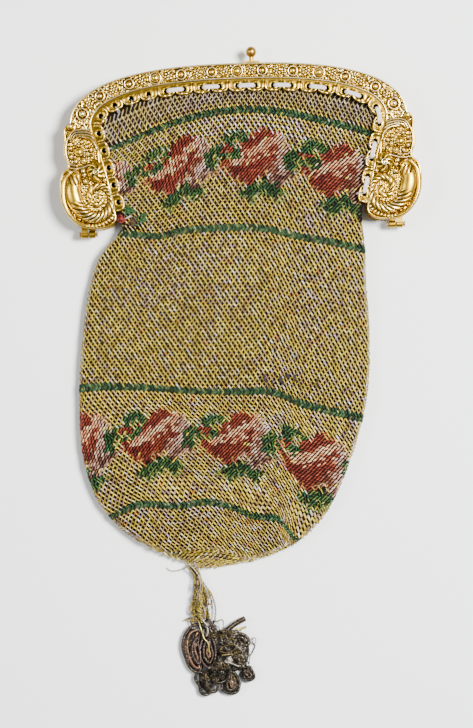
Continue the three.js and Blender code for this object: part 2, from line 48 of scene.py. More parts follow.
# Camera. It hangs far above the table and looks straight down with a long lens. It is turned a
# little, because the purse was laid down two degrees off square.
shot_middle = (-3.7, -102.8)
shot_tall = 254.8
shot_turn = -2.0
focus_height = 8.0
lens = 120.0
sensor = 36.0

camera_data = bpy.data.cameras.new("camera")
camera_data.sensor_fit = "VERTICAL"
camera_data.sensor_height = sensor
camera_data.lens = lens
camera_data.clip_start = 0.01
camera_data.clip_end = 20
camera = bpy.data.objects.new("camera", camera_data)
camera_height = focus_height + shot_tall * lens / sensor
camera.location = Vector((shot_middle[0], shot_middle[1] + datum, camera_height)) / 1000
camera.rotation_euler = (0, 0, math.radians(shot_turn))
bpy.context.scene.collection.objects.link(camera)
bpy.context.scene.camera = camera


# The table is a plain pale board. The light is a studio's: one large soft lamp high on the right
# and a weaker one on the left, in a pale room.
class Socket:
    """One socket of a material's nodes. Plus, minus, times and so on add its Math nodes."""

    def __init__(self, socket):
        self.socket = socket

    def node(self, kind, settings, sockets, out=0):
        """Adds a node beside this one: its settings first, then its sockets' values or links."""
        tree = self.socket.id_data
        made = tree.nodes.new(kind)
        for name, value in settings.items():
            setattr(made, name, value)
        for name, value in sockets.items():
            if isinstance(value, Socket):
                tree.links.new(value.socket, made.inputs[name])
            else:
                made.inputs[name].default_value = value
        return Socket(made.outputs[out])

    def sum_of(self, operation, first, second):
        """One Math node of two values."""
        return self.node("ShaderNodeMath", {"operation": operation}, {0: first, 1: second})

    def __add__(self, other):
        return self.sum_of("ADD", self, other)

    def __radd__(self, other):
        return self.sum_of("ADD", other, self)

    def __sub__(self, other):
        return self.sum_of("SUBTRACT", self, other)

    def __rsub__(self, other):
        return self.sum_of("SUBTRACT", other, self)

    def __mul__(self, other):
        return self.sum_of("MULTIPLY", self, other)

    def __rmul__(self, other):
        return self.sum_of("MULTIPLY", other, self)

    def held(self, low, high):
        """The value spread from low..high to 0..1, and held there."""
        sockets = {"Value": self, "From Min": low, "From Max": high}
        return self.node("ShaderNodeMapRange", {"clamp": True}, sockets)

    def blend(self, first, second):
        """The colour between two colours at this share."""
        sides = {
            slot: side if isinstance(side, Socket) else (*side, 1)
            for slot, side in ((6, first), (7, second))
        }
        return self.node("ShaderNodeMix", {"data_type": "RGBA"}, {0: self, **sides}, 2)

    def noise(self, scale, detail=3.0, roughness=0.5):
        """Soft random mottling, from 0 to 1, at this place."""
        sockets = {"Vector": self, "Scale": scale, "Detail": detail, "Roughness": roughness}
        return self.node("ShaderNodeTexNoise", {}, sockets)

    def bump(self, strength, distance):
        """The surface's direction with this height pressed into it."""
        sockets = {"Strength": strength, "Distance": distance, "Height": self}
        return self.node("ShaderNodeBump", {}, sockets)

    def mesh_value(self, label, out):
        """A number or colour that the mesh carries at each of its points."""
        return self.node("ShaderNodeAttribute", {"attribute_name": label}, {}, out)


def material(name, metallic=0.0):
    """A new material, its place socket, and its main shader."""
    made = bpy.data.materials.new(name)
    made.use_nodes = True
    shader = made.node_tree.nodes["Principled BSDF"]
    shader.inputs["Metallic"].default_value = metallic
    place = made.node_tree.nodes.new("ShaderNodeTexCoord").outputs["Object"]
    return made, Socket(place), shader


def paint(shader, sockets):
    """Feeds the shader's sockets with values or links."""
    for name, value in sockets.items():
        if isinstance(value, Socket):
            shader.id_data.links.new(value.socket, shader.inputs[name])
        else:
            shader.inputs[name].default_value = value


def skin(name, points, faces, finish, values=None):
    """A smooth mesh piece from points in millimetres and arrays of faces. Its values are numbers
    or colours at the points, or one number for them all."""
    points = np.asarray(points, float).reshape(-1, 3)
    mesh = bpy.data.meshes.new(name)
    mesh.vertices.add(len(points))
    placed = (points + (0, datum, 0)) / 1000
    mesh.vertices.foreach_set("co", placed.astype(np.float32).ravel())
    corners = np.concatenate([np.asarray(rows).ravel() for rows in faces])
    sizes = np.concatenate([np.full(len(rows), len(rows[0])) for rows in faces])
    mesh.loops.add(len(corners))
    mesh.loops.foreach_set("vertex_index", corners.astype(np.int32))
    mesh.polygons.add(len(sizes))
    starts = np.concatenate([[0], np.cumsum(sizes)[:-1]])
    mesh.polygons.foreach_set("loop_start", starts.astype(np.int32))
    mesh.update(calc_edges=True)
    mesh.shade_smooth()
    for label, value in (values or {}).items():
        value = np.asarray(value, np.float32)
        if value.ndim < 2:
            layer = mesh.attributes.new(label, "FLOAT", "POINT")
            layer.data.foreach_set("value", np.full(len(points), value, np.float32))
        else:
            layer = mesh.attributes.new(label, "FLOAT_COLOR", "POINT")
            opaque = np.concatenate([value, np.ones((len(value), 1), np.float32)], axis=1)
            layer.data.foreach_set("color", opaque.ravel())
    mesh.materials.append(finish)
    made = bpy.data.objects.new(name, mesh)
    bpy.context.scene.collection.objects.link(made)
    return made


board, place, shader = material("painted_board")
shade = place.noise(6.0).blend((0.72, 0.73, 0.71), (0.76, 0.765, 0.75))
grain = place.noise(900.0).bump(0.1, 0.0002)
paint(shader, {"Base Color": shade, "Roughness": 0.8, "Normal": grain})
table_half = 900
table_corners = [
    (-table_half, -table_half, 0), (table_half, -table_half, 0),
    (table_half, table_half, 0), (-table_half, table_half, 0),
]
table = skin("table", table_corners, [np.array([[0, 1, 2, 3]])], board)


def lamp(name, place, aim, size, power):
    """A round soft lamp that faces a point. Its sizes are metres."""
    light = bpy.data.lights.new(name, "AREA")
    light.shape = "DISK"
    light.size = size
    light.energy = power
    made = bpy.data.objects.new(name, light)
    made.location = place
    made.rotation_euler = (Vector(aim) - Vector(place)).to_track_quat("-Z", "Y").to_euler()
    bpy.context.scene.collection.objects.link(made)


lamp("main_lamp", (0.42, 0.16, 0.8), (0, -0.1, 0), 0.3, 37)
lamp("side_lamp", (-0.7, 0.1, 0.8), (0, -0.1, 0), 0.45, 8)
world = bpy.data.worlds.new("room")
world.use_nodes = True
room = world.node_tree.nodes["Background"]
room.inputs["Color"].default_value = (0.9, 0.94, 1.0, 1)
room.inputs["Strength"].default_value = 0.3
bpy.context.scene.world = world

# Rail of the front half. It is a thin brass channel bent to an arch, stamped with a row of
# pearls, ringed bosses and flowers on a ground of fine scrolls and grains, with a plain wire
# along each edge, and then gilded. The gilding is painted brownest, nearly black, in the
# hollows and palest on the crests: partly wear, and partly painted shade in the hollows and
# painted highlight on the crests.
rail_half = 59.3
inner_half = 51.6
rail_rise = 21.4
inner_rise = 15.7
spring_line = -19.0
rail_roundness = 2.5
half_width = 63.4
half_depth = 4.65
depth = 9.6
wall = 0.9
plate = 0.8
front_top = 9.0
front_under = 8.2
front_low = 4.95
wire_width = 0.8
wire_height = 0.6
rail_steps = 900
fine_turns = 20001
crown_shares = 4001
stud_clearing = 2.4
# How strongly the relief paints the gilt's wear, painted shade and painted highlight, and round
# what middle.
wear_and_shade_contrast = 3.6
wear_and_shade_middle = 0.5
side_crest = 0.6


def arch(half, rise, turn):
    """Points on the frame's arch, for turns from the right spring line over to the left."""
    power = 2 / rail_roundness
    across = np.sign(np.cos(turn)) * half * np.abs(np.cos(turn)) ** power
    return np.stack([across, spring_line + rise * np.abs(np.sin(turn)) ** power], axis=-1)


def walk_along(line):
    """The distance walked along a line, at each of its points."""
    return np.concatenate([[0], np.cumsum(np.linalg.norm(np.diff(line, axis=0), axis=1))])


def pick_on(line, marks, spots):
    """Points on a line, where its own points lie at the marks."""
    return np.stack([np.interp(spots, marks, column) for column in line.T], axis=1)


def lifted(line, z):
    """Flat points set at one height, or each at its own."""
    return np.column_stack([line, np.full(len(line), z)])


def even_turns(count):
    """Turns from the right spring line over to the left, a like distance apart on the rail."""
    fine = np.linspace(0, np.pi, fine_turns)
    walked = walk_along(arch((rail_half + inner_half) / 2, (rail_rise + inner_rise) / 2, fine))
    return np.interp(np.linspace(0, walked[-1], count), walked, fine)


def ridge(off, half, high):
    """A half-round ridge, for distances off its middle line."""
    return high * np.sqrt(np.clip(1 - (off / half) ** 2, 0, 1))


def grains(x, y, pitch, size, high, seed):
    """A ground of small round grains, at places scattered round a square grid."""
    cells = 97
    scatter = np.random.default_rng(seed).random((cells, cells, 2))
    cell_x = np.floor(x / pitch).astype(int)
    cell_y = np.floor(y / pitch).astype(int)
    nearest = np.full(x.shape, 9.0)
    for i in (-1, 0, 1):
        for j in (-1, 0, 1):
            shift = scatter[(cell_x + i) % cells, (cell_y + j) % cells]
            off_x = (cell_x + i + 0.2 + 0.6 * shift[..., 0]) * pitch - x
            off_y = (cell_y + j + 0.2 + 0.6 * shift[..., 1]) * pitch - y
            nearest = np.minimum(nearest, np.hypot(off_x, off_y))
    return ridge(nearest, size, high)


def pearl(x, y, px, py, size=1.55):
    """A round pearl in a thin ring."""
    off = np.hypot(x - px, y - py)
    ring = ridge(off - size - 0.45, 0.34, 0.5)
    return np.maximum(ridge(off, size, 1.45), ring)


def ringed_boss(x, y, px, py, size=1.6):
    """A low boss in a wide ring."""
    off = np.hypot(x - px, y - py)
    return np.maximum(ridge(off, 0.62 * size, 0.85), ridge(off - size, 0.36, 0.75))


def posy(x, y, px, py, size=1.05, petals=6, turn=0.3):
    """A small flower with round petals."""
    high = ridge(np.hypot(x - px, y - py), 0.55 * size, 0.95)
    for p in range(petals):
        angle = turn + 2 * np.pi * p / petals
        bx = px + size * math.cos(angle)
        by = py + size * math.sin(angle)
        high = np.maximum(high, ridge(np.hypot(x - bx, y - by), 0.5 * size, 0.75))
    return high


def great_boss(x, y, px, py):
    """The tall ringed boss near each end of the rail."""
    off = np.hypot(x - px, y - py)
    return np.maximum(ridge(off, 1.25, 1.5), ridge(off - 2.0, 0.42, 1.0))


rail_studs = [
    # stud, and its places as shares of the frame's half width from the crown, the same each way
    (great_boss, (0.915,)),
    (pearl, (0.0, 0.452)),
    (ringed_boss, (0.139, 0.308, 0.6, 0.775)),
    (posy, (0.072, 0.22, 0.38, 0.525, 0.69, 0.85)),
]


def rail_relief(x, y, along, across, width):
    """Height over the ground, at distances along the rail from its crown and across it."""
    turns = even_turns(crown_shares)
    middle = arch((rail_half + inner_half) / 2, (rail_rise + inner_rise) / 2, turns)
    walked = np.linspace(0, 1, crown_shares)
    length = np.linalg.norm(np.diff(middle, axis=0), axis=1).sum()
    wave = 0.27 * width + 0.35 * np.sin(along * 2 * np.pi / 2.9)
    off = np.minimum(np.abs(across - wave), np.abs(width - across - wave))
    high = np.maximum(grains(x, y, 0.8, 0.37, 0.34, 5), ridge(off, 0.3, 0.45))
    for stud, shares in rail_studs:
        for share in sorted({sign * share for share in shares for sign in (1, -1)}):
            at = 0.5 - share * half_width / length
            px = np.interp(at, walked, middle[:, 0])
            py = np.interp(at, walked, middle[:, 1])
            near = np.hypot(x - px, y - py) < stud_clearing
            high = np.where(near, np.maximum(0.5 * high, stud(x, y, px, py)), high)
    return high


def relief_wear_and_shade(high, soft=4):
    """How far each point of a grid of heights stands over its neighbours, from 0 to 1. It sets
    the gilt's wear, and its painted shade in the hollows and painted highlight on the crests.
    """
    mean = high.copy()
    for _ in range(soft):
        spread = np.pad(mean, 1, mode="edge")
        mean = (spread[:-2, 1:-1] + spread[2:, 1:-1] + spread[1:-1, :-2] + spread[1:-1, 2:]) / 4
    return np.clip(wear_and_shade_middle + (high - mean) * wear_and_shade_contrast, 0, 1)


def grid_faces(rows, columns, closed=False):
    """Quads between rows of points, each row joined round into a ring where closed."""
    at = np.arange(rows * columns).reshape(rows, columns)
    beside = np.roll(at, -1, axis=1)
    if not closed:
        at, beside = at[:, :-1], beside[:, :-1]
    corners = [at[:-1], beside[:-1], beside[1:], at[1:]]
    return np.stack(corners, axis=-1).reshape(-1, 4)


gilt, place, shader = material("gilt", metallic=1.0)
# The crest value paints the gilt nearly black in the hollows and nearly white on the crests: partly
# wear, and partly painted shade in the hollows and painted highlight on the crests.
crest = place.mesh_value("crest", "Fac")
patches = place.noise(240.0, 5.0, 0.6).held(0.35, 0.7)
bright = patches.blend((0.64, 0.42, 0.04), (0.5, 0.29, 0.02))
low = crest.held(0.3, 0.62).blend((0.05, 0.022, 0.0015), bright)
wear_and_painted_light = crest.held(0.68, 1.0).blend(low, (1.0, 0.88, 0.46))
dents = place.noise(2600.0, 4.0, 0.7).bump(0.25, 0.00008)
dull = 0.33 - 0.13 * crest + 0.1 * patches
paint(shader, {"Base Color": wear_and_painted_light, "Roughness": dull, "Normal": dents})

turns = even_turns(rail_steps)
outer = arch(rail_half, rail_rise, turns)
inner = arch(inner_half, inner_rise, turns)
width = np.linalg.norm(inner - outer, axis=1)
along = walk_along((outer + inner) / 2)
along -= along[-1] / 2
body = width[:, None]
wire = np.tile([0, 0.05, 0.2, 0.4, 0.6, 0.75, wire_width], (rail_steps, 1))
ground_edge = wire_width + 0.15
ground = ground_edge + (body - 2 * ground_edge) * np.linspace(0, 1, 26)
across = np.concatenate([wire, ground, body - wire[:, ::-1]], axis=1)
share = (across / body)[..., None]
face = outer[:, None] * (1 - share) + inner[:, None] * share
from_edge = np.minimum(across, body - across)
wires = ridge(np.abs(from_edge - wire_width / 2), wire_width / 2, wire_height)
stamped = rail_relief(face[..., 0], face[..., 1], along[:, None], across, body)
high = np.maximum(wires, stamped * np.clip((from_edge - wire_width) / 0.12, 0, 1))
# How far the rail's relief stands out, which sets its wear, painted shade and painted highlight.
crests = relief_wear_and_shade(high)
top = np.concatenate([face, front_top + high[..., None]], axis=2)


def at_share(distance, from_inner, z):
    """A line along the rail at a height, a distance in from its outer or its inner edge."""
    share = (width - distance if from_inner else np.full(rail_steps, distance)) / width
    spot = outer * (1 - share[:, None]) + inner * share[:, None]
    return lifted(spot, z)[:, None]


face_edge = front_top - 0.15
below = [
    at_share(distance, from_inner, z)
    for distance, from_inner, z in (
        (0, True, face_edge), (0, True, front_under), (wall, False, front_under),
        (wall, False, front_low), (0, False, front_low), (0, False, face_edge),
    )
]
rings = np.concatenate([top, *below], axis=1)
columns = rings.shape[1]
ends = np.array([np.arange(columns), np.arange(columns)[::-1] + (rail_steps - 1) * columns])
crests = np.concatenate([crests, np.full((rail_steps, len(below)), side_crest)], axis=1)
faces = [grid_faces(rail_steps, columns, closed=True), ends]
front_rail = skin("front_rail", rings, faces, gilt, {"crest": crests.ravel()})
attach(front_rail, "purse")
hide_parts("front_frame")

# Ends of the front half. Each is a stamped gilt plate: a horn of plenty coiled below, its mouth
# filled with fruit, under a flower medallion that a ribbed leaf crowns. The left end is the right
# one turned over. The places are across from the frame's middle and up from the crown.
foot_half = 41.5
end_width = 21.9
end_drop = 35.0
foot_line = spring_line - end_drop
end_proud = 0.1
end_rows = 218
end_columns = 110
outline_steps = 12
foot_rows = 24
end_outline = [
    # shares across the end from its foot's inner side, and down it from the spring line
    (0.8, -0.07), (0.9, -0.01), (0.9, 0.1), (0.915, 0.24), (0.86, 0.37), (0.96, 0.44),
    (1.0, 0.59), (0.97, 0.74), (0.86, 0.875), (0.7, 0.965), (0.46, 1.0), (0.23, 0.985),
    (0.11, 0.92), (0.13, 0.77), (0.2, 0.54), (0.3, 0.29), (0.43, 0.04), (0.48, -0.07),
]


def smooth_line(points, steps, closed=False):
    """A curve through the points, with so many steps from each to the next."""
    points = np.asarray(points, float)
    if closed:
        padded = np.concatenate([points[-1:], points, points[:2]])
    else:
        before = 2 * points[:1] - points[1:2]
        padded = np.concatenate([before, points, 2 * points[-1:] - points[-2:-1]])
    part = np.linspace(0, 1, steps, endpoint=False)[:, None]
    line = []
    for a, b, c, d in zip(padded, padded[1:], padded[2:], padded[3:]):
        ab, bc, cd = (max(np.linalg.norm(s) ** 0.5, 1e-6) for s in (b - a, c - b, d - c))
        leave = (c - b) + bc * ((b - a) / ab - (c - a) / (ab + bc))
        meet = (c - b) + bc * ((d - c) / cd - (d - b) / (bc + cd))
        line.append(
            (2 * part**3 - 3 * part**2 + 1) * b
            + (part**3 - 2 * part**2 + part) * leave
            + (3 * part**2 - 2 * part**3) * c
            + (part**3 - part**2) * meet
        )
    if not closed:
        line.append(points[-1:])
    return np.concatenate(line)


def off_line(x, y, line):
    """Distance from each place to a line, the distance walked along it, and the side it is on."""
    nearest = np.full(x.shape, 1e9)
    walked = np.zeros(x.shape)
    side = np.ones(x.shape)
    start = 0.0
    for (ax, ay), (bx, by) in zip(line[:, :2], line[1:, :2]):
        dx, dy = bx - ax, by - ay
        length = math.hypot(dx, dy)
        share = np.clip(((x - ax) * dx + (y - ay) * dy) / length**2, 0, 1)
        off = np.hypot(x - ax - share * dx, y - ay - share * dy)
        closer = off < nearest
        nearest = np.where(closer, off, nearest)
        walked = np.where(closer, start + share * length, walked)
        side = np.where(closer, np.sign(dx * (y - ay) - dy * (x - ax)), side)
        start += length
    return nearest, walked, side


def smooth_step(low, high, value):
    """A soft step from 0 to 1 between two values."""
    share = np.clip((value - low) / (high - low), 0, 1)
    return share * share * (3 - 2 * share)


horn = [
    # across, up, half width
    (57.4, -35.4, 2.1), (58.9, -39.3, 2.6), (57.8, -44.6, 2.9), (54.7, -48.8, 2.6),
    (50.6, -50.0, 2.3), (46.9, -48.3, 2.1), (45.0, -44.7, 1.9), (45.9, -41.1, 1.75),
    (48.7, -39.1, 1.6), (51.6, -39.7, 1.45), (53.0, -42.0, 1.3), (52.3, -44.6, 1.15),
    (50.1, -45.5, 0.95), (48.7, -44.0, 0.8), (49.8, -42.5, 0.6),
]
leaf = [(49.3, -26.4), (49.9, -23.6), (51.6, -21.4), (54.7, -20.2), (57.7, -20.3), (59.2, -22.0)]
medallion_wire = [(59.7, -21.5), (60.6, -24.4), (60.6, -27.6), (59.6, -30.9), (57.0, -31.7)]
medallion_foot = [(51.2, -31.0), (54.0, -32.0), (57.0, -32.6), (59.8, -32.3)]
strap = [
    (59.6, -34.0), (61.6, -36.6), (62.2, -40.5), (61.9, -44.5), (60.4, -48.4), (57.6, -51.6),
    (54.4, -53.1),
]
gadroons = [
    (44.6, -43.9), (44.0, -46.9), (45.2, -49.9), (48.0, -52.0), (51.7, -53.0), (55.0, -52.7),
]
leaf_stalk = [(47.0, -37.6), (48.0, -34.8), (49.0, -31.5), (49.4, -28.0), (49.2, -25.4)]
end_flower = (50.4, -34.0)
fruits = [(54.6, -34.9), (54.2, -37.3), (55.0, -33.6), (47.4, -36.9)]
medallion_blobs = [
    # across, up, size
    (51.9, -26.3, 0.8), (53.4, -25.0, 0.75), (56.2, -26.9, 1.7), (59.0, -25.6, 0.8),
    (58.9, -28.4, 0.9), (53.1, -27.7, 0.9), (54.6, -30.0, 1.2), (57.4, -30.1, 0.8),
    (57.3, -24.0, 0.8), (51.6, -29.0, 0.7), (55.0, -23.4, 0.7),
]


def end_relief(x, y):
    """Height of the right end over its plate."""
    horn_line = smooth_line(horn, 6)
    off, walked, side = off_line(x, y, horn_line)
    marks = np.linspace(0, 1, len(horn_line))
    length = np.linalg.norm(np.diff(horn_line[:, :2], axis=0), axis=1).sum()
    size = np.interp(walked / length, marks, horn_line[:, 2])
    ribs = np.abs(np.sin((walked * 1.5 + side * off * 1.5) * 1.15)) ** 0.6
    ribbed = smooth_step(8.5, 12.5, walked) + 1 - smooth_step(2.4, 3.6, walked)
    high = ridge(off, size, 0.68 * size + 0.1) * (1 - 0.42 * (1 - ribs) * np.clip(ribbed, 0, 1))

    off, walked, side = off_line(x, y, smooth_line(leaf, 6))
    ribs = np.abs(np.sin((side * off + walked * 0.12) * 3.6)) ** 0.7
    leaf_size = 0.5 + 1.45 * np.sin(np.clip(walked / 15.5, 0, 1) * np.pi) ** 0.5
    high = np.maximum(high, ridge(off, leaf_size, 1.5) * (0.62 + 0.38 * ribs))

    off, walked, side = off_line(x, y, smooth_line(gadroons, 6))
    beads = np.abs(np.sin(walked * np.pi / 1.25)) ** 0.5
    high = np.maximum(high, ridge(off, 0.85, 1.0) * (0.45 + 0.55 * beads))

    for line, half, rise in (
        (medallion_wire, 0.42, 1.0),
        (medallion_foot, 0.38, 0.8),
        (strap, 1.0, 1.1),
        (leaf_stalk, 0.5, 0.8),
    ):
        off, walked, side = off_line(x, y, smooth_line(line, 5))
        high = np.maximum(high, ridge(off, half, rise))

    for px, py, size in medallion_blobs:
        high = np.maximum(high, ridge(np.hypot(x - px, y - py), size, 0.7 + 0.55 * size))
    beside, above = x - end_flower[0], y - end_flower[1]
    off = np.hypot(beside, above / 1.1)
    petals = 0.62 + 0.38 * np.abs(np.cos(3.5 * np.arctan2(above, beside) + off * 0.8))
    flower = np.maximum(ridge(off, 3.4, 1.7) * petals, ridge(off - 0.9, 0.42, 1.9))
    high = np.maximum(high, flower)
    for px, py in fruits:
        high = np.maximum(high, ridge(np.hypot(x - px, y - py), 1.0, 1.2))
    high = np.maximum(high, ringed_boss(x, y, 58.0, -34.6, 1.1))
    high = np.maximum(high, pearl(x, y, 59.0, -17.9, 1.4))
    return np.maximum(high, grains(x, y, 0.62, 0.28, 0.2, 9))


outline_marks = [(foot_half + a * end_width, spring_line - d * end_drop) for a, d in end_outline]
outline = smooth_line(outline_marks, outline_steps, closed=True)
low_point = int(np.argmin(outline[:, 1]))
outer_side = outline[: low_point + 1]
inner_side = outline[low_point : (len(end_outline) - 1) * outline_steps + 1][::-1]
top_y = spring_line + 0.068 * end_drop
row_y = np.linspace(top_y, outline[low_point, 1] + 0.02, end_rows)
# The rows at the foot stand a little closer than the others.
row_y[-foot_rows:] = np.linspace(row_y[-foot_rows - 1], row_y[-1], foot_rows + 2)[2:]


def across_at(side, y):
    """How far across a side of the outline is at each height."""
    order = np.maximum.accumulate(-side[:, 1])
    return np.interp(-y, order, side[:, 0])


out_x = across_at(outer_side, row_y)
in_x = across_at(inner_side, row_y)
share = np.linspace(0, 1, end_columns)[None, :]
end_x = in_x[:, None] * (1 - share) + out_x[:, None] * share
end_y = np.tile(row_y[:, None], (1, end_columns))
edge_off = off_line(end_x, end_y, np.concatenate([outline, outline[:1]]))[0]
high = end_relief(end_x, end_y)
border = ridge(edge_off - 0.45, 0.45, 0.75)
high = np.maximum(high * smooth_step(0.1, 0.7, edge_off), border)
under_rail = smooth_step(spring_line - 0.4, spring_line + 0.1, end_y) * (high < 0.65)
end_z = front_top + end_proud + high * (1 - under_rail) - 0.7 * under_rail
# How far the end's relief stands out, which sets its wear, painted shade and painted highlight.
end_crest = relief_wear_and_shade(high)


def grid_edge(rows, columns):
    """The numbers of the points round the edge of a grid."""
    at = np.arange(rows * columns).reshape(rows, columns)
    return np.concatenate([at[0, :-1], at[:-1, -1], at[-1, :0:-1], at[:0:-1, 0]])


def stamped_end(name, mirror):
    """One end: the relief, and a skirt from its edge down to the closed underside."""
    count = end_rows * end_columns
    grid = np.stack([mirror * end_x, end_y, end_z], axis=-1).reshape(-1, 3)
    rim_loop = grid_edge(end_rows, end_columns)
    under = grid[rim_loop]
    under[:, 2] = front_under - end_proud
    ring = np.arange(len(rim_loop))
    following = np.roll(ring, -1)
    corners = [rim_loop, rim_loop[following], count + following, count + ring]
    skirt = np.stack(corners, axis=-1)
    faces = [grid_faces(end_rows, end_columns)[:, ::-1], skirt, count + ring[None, :]]
    if mirror < 0:
        faces = [rows[:, ::-1] for rows in faces]
    crest = np.concatenate([end_crest.ravel(), np.full(len(rim_loop), side_crest)])
    made = skin(name, np.concatenate([grid, under]), faces, gilt, {"crest": crest})
    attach(made, "purse")
    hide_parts("front_frame")


stamped_end("front_end_right", 1)
stamped_end("front_end_left", -1)

# Walls of both halves' ends, and the plain plates of the back half. The two halves are shallow
# trays that meet edge to edge when the purse is shut.
lip = 0.15
wall_overlap = 0.2


def ribbon(line, inset, thick, low, high):
    """A wall that stands on a line, from low to high, as rings of four corners."""
    walk = np.gradient(line, axis=0)
    walk /= np.linalg.norm(walk, axis=1)[:, None]
    inward = np.stack([walk[:, 1], -walk[:, 0]], axis=1)
    near = line + inward * inset
    far = line + inward * (inset + thick)
    corners = [(near, low), (near, high), (far, high), (far, low)]
    return np.stack([lifted(side, z) for side, z in corners], axis=1)


def tube_faces(rows, columns):
    """A skin round rings of points, with both ends filled."""
    last = (rows - 1) * columns
    caps = np.array([np.arange(columns)[::-1], last + np.arange(columns)])
    return [grid_faces(rows, columns, closed=True), caps]


def joined(parts):
    """One set of points and faces from several."""
    points, faces, offset = [], [], 0
    for part_points, part_faces in parts:
        part_points = np.asarray(part_points, float).reshape(-1, 3)
        points.append(part_points)
        faces += [np.asarray(rows) + offset for rows in part_faces]
        offset += len(part_points)
    return np.concatenate(points), faces


def mirrored(part):
    """The same part on the other side of the frame's middle."""
    points, faces = part
    points = np.asarray(points, float).reshape(-1, 3) * (-1, 1, 1)
    return points, [np.asarray(rows)[:, ::-1] for rows in faces]


def hard_edges(made, degrees=35):
    """Edges sharper than this stay crisp under smooth shading."""
    made.data.set_sharp_from_angle(angle=math.radians(degrees))
    return made


wall_line = outline[outline_steps // 2 : 21 * outline_steps // 2]
front_wall = ribbon(wall_line, lip, wall, front_low, front_under + wall_overlap)
back_wall = ribbon(wall_line, lip, wall, plate - wall_overlap, half_depth)
wall_faces = tube_faces(len(wall_line), 4)
plate_outline = outline[::2]
plate_rings = np.stack([lifted(plate_outline, z) for z in (end_proud, plate + 3 * end_proud)])
plate_faces = tube_faces(2, len(plate_outline))

# The back half's rail is a plain tray, whose flat face lies on the table.
back_corners = [
    (0, False, 0), (0, True, 0), (0, True, plate),
    (wall, False, plate), (wall, False, half_depth), (0, False, half_depth),
]
back_lines = [at_share(distance, from_inner, z) for distance, from_inner, z in back_corners]
back_rings = np.concatenate(back_lines, axis=1)[::4]
shell_parts = [(back_rings, tube_faces(len(back_rings), 6))]
for part in ((back_wall, wall_faces), (plate_rings, plate_faces)):
    shell_parts += [part, mirrored(part)]
points, faces = joined(shell_parts)
back_shell = hard_edges(skin("back_shell", points, faces, gilt, {"crest": 0.58}))
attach(back_shell, "purse")
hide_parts("back_frame")

points, faces = joined([(front_wall, wall_faces), mirrored((front_wall, wall_faces))])
front_walls = hard_edges(skin("front_walls", points, faces, gilt, {"crest": 0.55}))
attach(front_walls, "purse")
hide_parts("front_frame")

# Sewing rims. A thin scalloped strip runs inside each half's rail. Every scallop is pierced with
# a sewing hole, and on the front a raised shell curls round the hole.
rim_inset = 2.3
lobe_reach = 2.1
valley_reach = 0.7
hole_pitch_aim = 6.3
hole_radius = 0.8
rim_thickness = 0.7

quarter = np.linspace(np.pi / 2, 0, 41)
rim_line = np.concatenate(
    [arch(inner_half - rim_inset, inner_rise - rim_inset, quarter),
     [(foot_half, foot_line + lobe_reach + 1)]]
)
rim_line[0, 0] = 0
rim_marks = walk_along(rim_line)
rim_length = rim_marks[-1]
holes_a_side = round(rim_length / hole_pitch_aim)
hole_pitch = rim_length / holes_a_side


def on_rim(distance, outward):
    """The place at a distance from the crown along the line of holes, moved outward."""
    walked = np.clip(np.abs(distance), 0, rim_length - 1e-6)
    ahead = np.minimum(walked + 0.4, rim_length)
    behind = ahead - 0.8
    spot = [np.interp(walked, rim_marks, rim_line[:, i]) for i in (0, 1)]
    walk = [
        np.interp(ahead, rim_marks, rim_line[:, i])
        - np.where(behind < 0, -1.0 if i == 0 else 1.0, 1.0)
        * np.interp(np.abs(behind), rim_marks, rim_line[:, i])
        for i in (0, 1)
    ]
    size = np.hypot(*walk)
    x = spot[0] - walk[1] / size * outward
    y = spot[1] + walk[0] / size * outward
    return np.stack([np.where(np.asarray(distance) < 0, -1, 1) * x, y], axis=-1)


def scallop_reach(s):
    """How far a scallop reaches in from the line of holes, off its own hole."""
    off = np.clip(np.abs(s) / (hole_pitch / 2), 0, 1)
    return valley_reach + (lobe_reach - valley_reach) * np.sqrt(1 - off**2.2)


def pierced_scallop(k, low, raised, steps=40):
    """One scallop round its hole: rings of points from the hole out, over its edge and under."""
    angle = np.linspace(0, 2 * np.pi, steps, endpoint=False)
    unmet = 8.0
    reach = np.full(steps, unmet)
    for distance in np.linspace(hole_radius, 5.0, 106):
        s = distance * np.cos(angle)
        t = distance * np.sin(angle)
        outside = (np.abs(s) > hole_pitch / 2) | (t > rim_inset + 0.5) | (t < -scallop_reach(s))
        reach = np.where(outside & (reach == unmet), distance, reach)
    top = low + rim_thickness
    shares = np.linspace(0, 1, 9) if raised else np.array([0, 0.5, 1])
    rings = [(np.full(steps, hole_radius), np.full(steps, low))]
    for share in shares:
        distance = hole_radius + (reach - hole_radius) * share
        high = np.zeros(steps)
        if raised:
            edge = ridge(distance - reach + 0.5, 0.5, 0.6) * (np.sin(angle) < 0.35)
            curl = np.maximum(edge, ridge(distance - 1.2, 0.35, 0.2))
            bead = ridge(np.abs(np.abs(distance * np.cos(angle)) - hole_pitch / 2), 0.7, 0.5)
            bead *= ridge(distance * np.sin(angle) - 0.2, 1.2, 1.0)
            flutes = 0.86 + 0.14 * np.cos(angle * 7 + k)
            high = np.maximum(curl * flutes, bead) * (share > 0) * (share < 1)
        rings.append((distance, top + high))
    rings.append((reach, np.full(steps, low)))
    points = []
    for distance, z in rings:
        spot = on_rim(k * hole_pitch + distance * np.cos(angle), distance * np.sin(angle))
        points.append(lifted(spot, z))
    points = np.stack(points, axis=1)
    rows, columns = points.shape[:2]
    at = np.arange(rows * columns).reshape(rows, columns)
    down, right = np.roll(at, -1, axis=0), np.roll(at, -1, axis=1)
    both = np.roll(down, -1, axis=1)
    faces = np.stack([at, right, both, down], axis=-1).reshape(-1, 4)
    return points, [faces[:, ::-1]]


